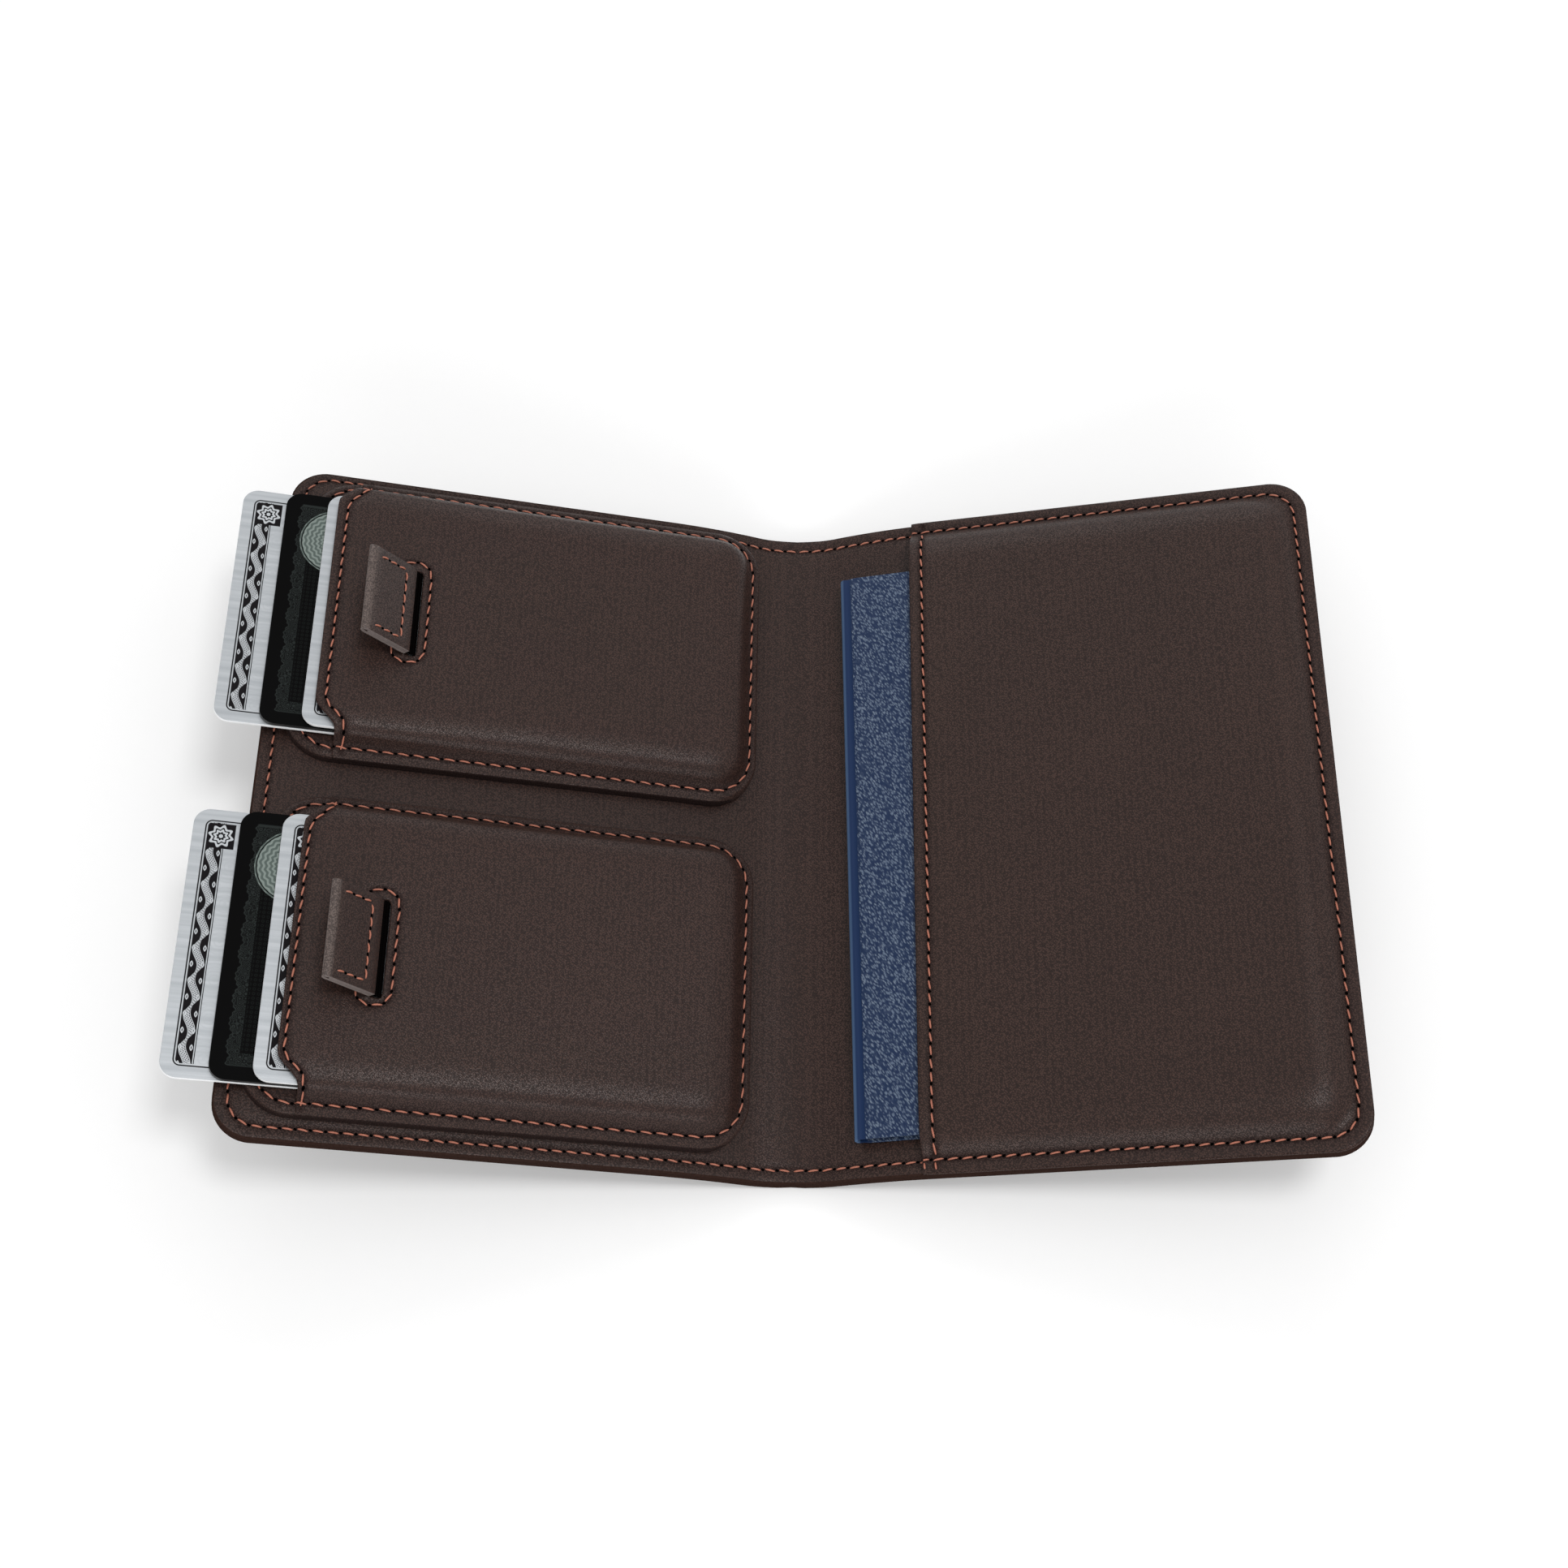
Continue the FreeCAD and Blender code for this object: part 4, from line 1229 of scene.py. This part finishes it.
def engravedFlower(along, across, look):
    # round flower in the corner of the band, and the square that it sits in
    reach, angle = radiusFrom(along, across, look["rosette"])
    petal = reach * (calc("SINE", angle * look["petals"]) * 0.16 + 1.12)
    size = look["rosetteSize"]
    flower = either(band(petal, size * 0.72, size * 0.95), band(petal, size * 0.36, size * 0.58))
    square = either(abs(along - look["rosette"][0]), abs(across - look["rosette"][1]))
    return either(flower, band(reach, -1.0, size * 0.16)), band(square, -1.0, size + 0.15)


def silverCardMaterial(look):
    material, tree, shader, _ = newMaterial("silverCardFace")
    uv, along, across, inward = cardSpot(tree)
    brush = effect(tree, brushedLines, {"Vector": uv, "Lines Per Metre": 900.0, "Length": 0.02})
    metal = blendColour(step(brush["Streaks"], 0.3, 0.7), look["silverDark"], look["silver"])
    flower, square = engravedFlower(along, across, look)
    inFrame = step(inward, look["bandStart"] - 0.05, look["bandStart"] + 0.05)
    inBand = either(inFrame * step(along, look["bandEnd"] + 0.05, look["bandEnd"] - 0.05), inFrame * square)
    pattern = blendColour(square, engravedBand(along, across, look), flower)
    # fine arcs over the inner field
    arcs = step(calc("SINE", cells(uv, 13.0, 0.0) * 62.0), 0.2, 0.8)
    inner = inFrame * step(along, look["bandEnd"] + 0.3, look["bandEnd"] + 0.4)
    edgeLine = inFrame * band(along, look["bandEnd"] + 0.18, look["bandEnd"] + 0.34, 0.04) * (1.0 - square)
    colour = blendColour(inner * arcs * 0.35, metal, look["silverDark"])
    colour = blendColour(band(inward, look["border"], look["border"] + 0.26), colour, look["ink"])
    colour = blendColour(inBand, colour, blendColour(pattern, look["ink"], look["line"]))
    colour = blendColour(edgeLine, colour, look["ink"])
    inked = inBand * (1.0 - pattern)
    scratched = step(brush["Height"], 0.2, 0.8, 0.30, 0.44)
    fill(shader, {"Base Color": colour, "Metallic": step(inked, 0.0, 1.0, look["metal"], 0.0),
                  "Roughness": scratched + inked * look["inkMatt"], "Specular IOR Level": look["gloss"],
                  "Normal": bumped(brush["Height"], 0.35, 0.00004)})
    return material


blackPrint = {"black": rgb(0.0036, 0.0036, 0.0037), "lace": rgb(0.022, 0.026, 0.025),
              "dots": rgb(0.009, 0.0105, 0.010), "medal": rgb(0.100, 0.125, 0.115),
              "medalPale": rgb(0.22, 0.26, 0.24), "laceStart": 2.7, "laceEnd": 5.2, "scallop": 9.0,
              "centre": (11.1, 16.2), "radius": 7.6, "spokes": 24.0, "ring": 0.95, "gloss": 0.012}


def blackCardMaterial(look):
    material, tree, shader, place = newMaterial("blackCardFace")
    uv, along, across, inward = cardSpot(tree)
    start = inward + (abs(wave(across, look["scallop"])) * 0.7 + wave(across, 1.1) * 0.12)
    first, last = look["laceStart"], look["laceEnd"]
    lacy = step(start, first + 0.6, first + 0.75) * step(inward, last + 0.1, last)
    loops = step(calc("SINE", cells(uv, 105.0, 0.8) * 26.0), -0.1, 0.7)
    holes = step(either(loops, band(start, first + 0.6, first + 0.85)), 0.0, 1.0, 0.22, 1.0)
    dotted = band(cells(uv, 110.0, 0.0), 0.18, 0.34, 0.06) * step(inward, last + 0.2, last + 0.3)
    colour = blendColour(lacy * holes, look["black"], look["lace"])
    colour = blendColour(dotted, colour, look["dots"])
    # a round medal of wavy rings
    reach, angle = radiusFrom(along, across, look["centre"])
    size = look["radius"]
    rings = step(wave(reach + calc("SINE", angle * look["spokes"]) * 0.16, look["ring"]), -0.3, 0.5)
    inMedal = step(reach, size + 0.04, size - 0.04)
    colour = blendColour(inMedal, colour, blendColour(rings, look["medal"], look["medalPale"]))
    colour = blendColour(inMedal * band(reach, size - 0.5, size - 0.28), colour, look["black"])
    smudge = noise(place, 90.0, 4.0)
    fill(shader, {"Base Color": colour, "Roughness": step(smudge, 0.3, 0.7, 0.34, 0.46),
                  "Specular IOR Level": look["gloss"], "Normal": bumped(smudge, 0.15, 0.00003)})
    return material


silverFace = silverCardMaterial(silverPrint)
blackFace = blackCardMaterial(blackPrint)
cardEdge = {"scale": 900.0, "metal": 0.0, "depth": 0.00001}
silverEdge = plainMaterial("silverCardEdge", dict(cardEdge, dark=rgb(0.93, 0.94, 0.95),
                                                  light=rgb(0.97, 0.98, 0.99), rough=0.35))
blackEdge = plainMaterial("blackCardEdge", dict(cardEdge, dark=rgb(0.01, 0.01, 0.01),
                                                light=rgb(0.03, 0.03, 0.03), rough=0.45))
for word in rows:
    makeCard(word, 1, silverFace, silverEdge)
    makeCard(word, 2, blackFace, blackEdge)
    makeCard(word, 3, silverFace, silverEdge)
print("cards made")


booklet = {"length": 125.0, "width": 88.0, "thick": 3.0, "board": 0.55, "corner": 3.2, "rim": 0.16, "cell": 2.4,
           "lean": 1.2, "drop": 2.55, "edge": 2.3, "lift": 0.15, "spine": 1.5, "groove": 1.6,
           "grooveWidth": 0.95, "grooveDepth": 0.4, "hingeCuts": (0.8, 1.6, 2.2, 2.8, 3.3, 3.9, 4.6),
           "frontCuts": (0, 0.8, 1.3, 1.6, 1.9, 2.2, 2.5, 2.8, 3.1, 3.5, 3.9, 4.6)}


def passportSeat():
    middle = booklet["edge"] + booklet["width"] / 2
    lean = Matrix.Rotation(math.radians(booklet["lean"]), 4, "Z")
    return (seats[1] @ Matrix.Translation((middle, -booklet["drop"], booklet["lift"])) @ lean
            @ Matrix.Translation((-booklet["width"] / 2, 0, 0)))


def onPassport(run, along, up):
    # run goes round the spine from the back board to the front board
    radius = booklet["spine"]
    quarter = radius * math.pi / 2
    if abs(run) < quarter:
        angle = run / radius
        return Vector((radius - (radius + up) * math.cos(angle), along, radius + (radius + up) * math.sin(angle)))
    across = radius + abs(run) - quarter
    return Vector((across, along, 2 * radius + up if run > 0 else -up))


def makePassport():
    seat = passportSeat()
    quarter = booklet["spine"] * math.pi / 2
    reach = booklet["width"] - booklet["spine"] + quarter - booklet["rim"]
    half = booklet["length"] / 2 - booklet["rim"]
    bm = flatSheet((-reach, -half), (reach, half), booklet["cell"])
    for level in [-cut for cut in reversed(booklet["hingeCuts"])] + list(booklet["frontCuts"]):
        bmesh.ops.bisect_plane(bm, geom=bm.verts[:] + bm.edges[:] + bm.faces[:], dist=0.05,
                               plane_co=(level, 0, 0), plane_no=(1, 0, 0))
    roundCorners(bm, (-reach, -half), (reach, half), booklet["corner"], facets=8)
    thicken(bm, booklet["board"], booklet["rim"])
    seamLayer = bm.verts.layers.float.new("seam")
    centre = booklet["groove"] - booklet["spine"] + quarter
    for vert in bm.verts:
        # the layer is one in the hinge groove, two on the spine and nothing on the boards
        beside = abs(vert.co.x) - centre
        near = math.exp(-(beside / booklet["grooveWidth"]) ** 2)
        vert[seamLayer] = near if beside > 0 else 2.0 - near
        if vert.co.z > -booklet["board"] / 2:
            vert.co.z -= near * booklet["grooveDepth"]
    placeMesh("passportCoverLeatherette", bm, lambda co: seat @ onPassport(co.x, co.y, co.z), [passportCloth],
              "passport", ("passport_cover",))


leatheretteLook = {"pebble": 0.00037, "stretch": 2.5, "slant": -56.0, "dark": rgb(0.0080, 0.0210, 0.0620),
                   "light": rgb(0.112, 0.150, 0.220), "paintedGlint": rgb(0.27, 0.31, 0.36), "paintedGlintShare": 0.32,
                   # groove: painted shade in the hinge groove; roll: painted highlight on the round of the spine
                   "groove": rgb(0.0050, 0.0200, 0.0700), "roll": rgb(0.085, 0.150, 0.270), "gloss": 0.18}


def leatheretteMaterial(look):
    # book cloth embossed with slanting rows of small pebbles, plain along the hinge
    material, tree, shader, place = newMaterial("passportLeatherette")
    size = look["pebble"]
    turned = slanted(place, look["slant"], (size * look["stretch"], size, size))
    bent = moved(turned, scaledBy(noise(turned, 0.45, 1.0, "Color"), 0.8))
    pebbles = step(cells(bent, 1.0, smoothness=0.18), 0.66, 0.16)
    height = pebbles * 0.74 + step(noise(bent, 0.8, 1.0), 0.34, 0.66) * 0.26
    apart = attribute(tree, "seam")
    embossed = step(apart, 0.78, 0.38)
    emboss = height * embossed
    colour = blendColour(step(emboss, 0.08, 0.92), look["dark"], look["light"])
    # painted highlight: light specks on the tops of the highest pebbles
    paintedGlints = step(emboss, 0.70, 0.92) * step(noise(bent, 0.6, 1.0), 0.46, 0.62)
    colour = blendColour(paintedGlints * look["paintedGlintShare"], colour, look["paintedGlint"])
    # painted shade in the hinge groove, and a painted highlight on the round of the spine
    hinge = blendColour(step(apart, 1.45, 2.0), look["groove"], look["roll"])
    fill(shader, {"Base Color": blendColour(embossed, hinge, colour),
                  "Roughness": step(emboss, 0.0, 1.0, 0.55, 0.38), "Specular IOR Level": look["gloss"],
                  "Normal": bumped(emboss, 1.0, 0.00013)})
    return material


def paperMaterial(look):
    # edges of the leaves, as fine lines over the block's height
    material, tree, shader, place = newMaterial("passportPaper")
    tilt = (0.0, math.radians(look["tilt"]), 0.0)
    layers = addNode(tree, "ShaderNodeMapping", {"Vector": place, "Rotation": tilt, "Scale": (0.05, 0.05, 9.0)})
    lines = noise(layers, look["scale"], 3.0)
    fill(shader, {"Base Color": blendColour(lines, look["dark"], look["light"]), "Roughness": 0.85,
                  "Normal": bumped(lines, 0.5, 0.00005)})
    return material


pageBlock = {"start": 1.3, "inset": 1.5, "thick": 1.8, "corner": 2.6, "rim": 0.08}
paperLook = {"tilt": 12.4, "scale": 900.0, "dark": rgb(0.62, 0.58, 0.50), "light": rgb(0.86, 0.83, 0.76)}


def makePages():
    # the sewn leaves end far enough inside the boards to stay in their shade
    seat = passportSeat()
    half = booklet["length"] / 2 - pageBlock["inset"] - pageBlock["rim"]
    low = (pageBlock["start"], -half)
    high = (booklet["width"] - pageBlock["inset"] - pageBlock["rim"], half)
    bm = flatSheet(low, high, booklet["cell"])
    roundCorners(bm, low, high, pageBlock["corner"], ends=(-1,), facets=6)
    thicken(bm, pageBlock["thick"], pageBlock["rim"])
    level = (booklet["thick"] + pageBlock["thick"]) / 2
    placeMesh("passportPageBlock", bm, lambda co: seat @ Vector((co.x, co.y, co.z + level)),
              [paperMaterial(paperLook)], "passport", ("passport_pages",))


passportCloth = leatheretteMaterial(leatheretteLook)
makePassport()
makePages()
print("passport made")


# finishes of the parts inside
innerLooks = {
    "board": {"scale": 700.0, "dark": rgb(0.23, 0.19, 0.14), "light": rgb(0.34, 0.29, 0.22), "rough": 0.85,
              "metal": 0.0, "depth": 0.00006},
    "steel_disc": {"scale": 1500.0, "dark": rgb(0.40, 0.41, 0.42), "light": rgb(0.55, 0.56, 0.57), "rough": 0.32,
                   "metal": 1.0, "depth": 0.00002},
    "magnet_ring": {"scale": 1200.0, "dark": rgb(0.42, 0.42, 0.43), "light": rgb(0.58, 0.58, 0.60), "rough": 0.28,
                    "metal": 1.0, "depth": 0.00002}}
for ending, look in innerLooks.items():
    made = plainMaterial(ending.title().replace("_", "") + "Finish", look)
    for name, node in frame["nodes"].items():
        if name.endswith(ending):
            node.data.materials.clear()
            node.data.materials.append(made)
print("inner finishes set")


sewing = {"sunk": 0.8, "mouthPitch": 2.7, "barPitch": 2.2, "barPast": 0.2, "fromEdge": 0.4, "secondBar": 0.5,
          "seamPitch": 2.72, "tabPitch": 2.65,
          "tabRuns": (((10.4, -7.9), (3.5, -7.9)), ((3.4, -7.8), (3.4, 7.8)), ((3.5, 7.9), (10.4, 7.9)))}


def sewnPiece(name, runs, toHolder, body=None):
    bm = bmesh.new()
    for run, pitch, height, below, closed in runs:
        sewAlong(bm, run, pitch, height, below, closed)
    return placeMesh(name, bm, toHolder, [copperThread, needleHoleShade], body)


def coverRuns(side):
    # the seam round the edge, and on the sleeve's side its mouth and the bars at one end of it
    run = coverSeam(side)
    sunk = cover["dip"] * sewing["sunk"]
    if side < 0:
        return [(run, cover["pitch"], lambda x, y: -sunk, False, False)]
    edge = linedRun + sleeve["mouth"]
    seamX = edge + sleeve["seamAtMouth"]
    past, end = sewing["barPast"], cover["half"] - sewing["fromEdge"]
    reach = sleeveSeamY - sewing["fromEdge"]

    def edgeLevel(x, y):
        return (sleeve["thickness"] if x > edge else 0.0) - sunk

    def mouthLevel(x, y):
        return sleeveLevel(x - linedRun, y) - sleeve["dip"] * sewing["sunk"]

    runs = [(run, cover["pitch"], edgeLevel, False, False),
            (roundedRun([(seamX, -reach), (seamX, reach)], 1), sewing["mouthPitch"], mouthLevel, False, False)]
    for across in (seamX, edge + sewing["secondBar"]):
        bar = roundedRun([(across, -sleeveSeamY - past), (across, -end)], 1)
        runs.append((bar, sewing["barPitch"], mouthLevel, False, False))
    return runs


for side, word in ((-1, "left"), (1, "right")):
    toHolder = lambda co: onCover(side, max(co.x, 0), co.y, co.z)
    bendAtFold(sewnPiece(word + "EdgeStitches", coverRuns(side), toHolder), side)
    under = -spineTop + cover["dip"] * sewing["sunk"]
    outer = [(coverSeam(side), cover["pitch"], lambda x, y: under, True, False)]
    bendAtFold(sewnPiece(word + "OuterStitches", outer, toHolder), side)


def walletLevel(word):
    def level(across, along):
        onPocket = across < mouthAt(word, along)
        top = pocketLevel(across, along) if onPocket else wallet["baseTop"]
        return top - wallet["dip"] * sewing["sunk"]

    return level


for word in rows:
    level = walletLevel(word)
    sewnPiece(word + "WalletStitches", [(walletSeam(), wallet["pitch"], level, False, True),
                                        (mouthSeam(), sewing["seamPitch"], level, False, False),
                                        (slotSeam(), sewing["seamPitch"], level, False, True)],
              onWallet(word), word + "_wallet")
    seat = tabSeat(word)
    top = tab["lift"] + tab["thick"]
    sewnPiece(word + "TabStitches", [(roundedRun(ends, 1), sewing["tabPitch"], lambda x, y: top, False, False)
                                     for ends in sewing["tabRuns"]], lambda co: seat @ co, word + "_pull_tab")
print("sewing made")


cameraLook = {"target": (-2.363, 14.19, 0.0), "distance": 469.714, "elevation": 62.947, "turn": 0.599,
              "roll": 0.023, "lens": 51.57, "sensor": 36.0}
studio = {"world": 0.62, "floorLift": 0.14, "floorSize": 3.0, "floorGrain": 400.0, "lamps": {
    "frontFill": {"spot": (0.0, -1.90, 0.84), "size": (1.40, 0.60), "power": 11.0},
    "keySoftbox": {"spot": (0.52, -0.14, 1.92), "size": (0.50, 0.50), "power": 12.0},
    "backSoftbox": {"spot": (-0.10, 1.64, 1.14), "size": (1.40, 0.60), "power": 5.0}}}


def makeCamera():
    up = math.radians(cameraLook["elevation"])
    turn = math.radians(cameraLook["turn"])
    away = Vector((math.cos(up) * math.sin(turn), -math.cos(up) * math.cos(turn), math.sin(up)))
    data = bpy.data.cameras.new("viewCamera")
    data.lens = cameraLook["lens"]
    data.sensor_width = cameraLook["sensor"]
    camera = bpy.data.objects.new("viewCamera", data)
    bpy.context.scene.collection.objects.link(camera)
    camera.location = (Vector(cameraLook["target"]) + away * cameraLook["distance"]) * mm
    spin = Matrix.Rotation(math.radians(cameraLook["roll"]), 3, "Z")
    camera.rotation_euler = ((-away).to_track_quat("-Z", "Y").to_matrix() @ spin).to_euler()
    bpy.context.scene.camera = camera


def seenDirectly(tree):
    # one for what the camera or a reflection sees, and nothing for the light that falls on the piece
    path = addNode(tree, "ShaderNodeLightPath", {}, None)
    camera, glossy = [Signal(tree, path.outputs[name]) for name in ("Is Camera Ray", "Is Glossy Ray")]
    return either(camera, glossy)


def makeFloor():
    bm = bmesh.new()
    bmesh.ops.create_grid(bm, x_segments=1, y_segments=1, size=studio["floorSize"])
    mesh = bpy.data.meshes.new("floor")
    bm.to_mesh(mesh)
    bm.free()
    floor = bpy.data.objects.new("floor", mesh)
    bpy.context.scene.collection.objects.link(floor)
    material, tree, shader, place = newMaterial("floorPaper")
    paper = blendColour(noise(place, studio["floorGrain"], 3.0), rgb(0.86, 0.86, 0.86), rgb(0.88, 0.88, 0.88))
    fill(shader, {"Base Color": paper, "Roughness": 0.9, "Specular IOR Level": 0.0})
    glow = addNode(tree, "ShaderNodeEmission", {"Color": rgb(1, 1, 1),
                                                "Strength": seenDirectly(tree) * studio["floorLift"]})
    lit = addNode(tree, "ShaderNodeAddShader", {0: Signal(tree, shader.outputs[0]), 1: glow})
    fill(tree.nodes["Material Output"], {"Surface": lit})
    mesh.materials.append(material)


def makeWorld():
    world = bpy.data.worlds.new("studio")
    world.use_nodes = True
    tree = world.node_tree
    strength = seenDirectly(tree) * (1.0 - studio["world"]) + studio["world"]
    fill(tree.nodes["Background"], {"Color": rgb(1, 1, 1), "Strength": strength})
    bpy.context.scene.world = world


def makeLamp(name, look):
    data = bpy.data.lights.new(name, "AREA")
    data.shape = "RECTANGLE"
    data.size, data.size_y = look["size"]
    data.energy = look["power"]
    lamp = bpy.data.objects.new(name, data)
    bpy.context.scene.collection.objects.link(lamp)
    lamp.location = look["spot"]
    lamp.rotation_euler = (-Vector(look["spot"])).to_track_quat("-Z", "Y").to_euler()


makeCamera()
makeFloor()
makeWorld()
for name, look in studio["lamps"].items():
    makeLamp(name, look)
bpy.context.scene.view_settings.view_transform = "Standard"
print("camera and light ready")
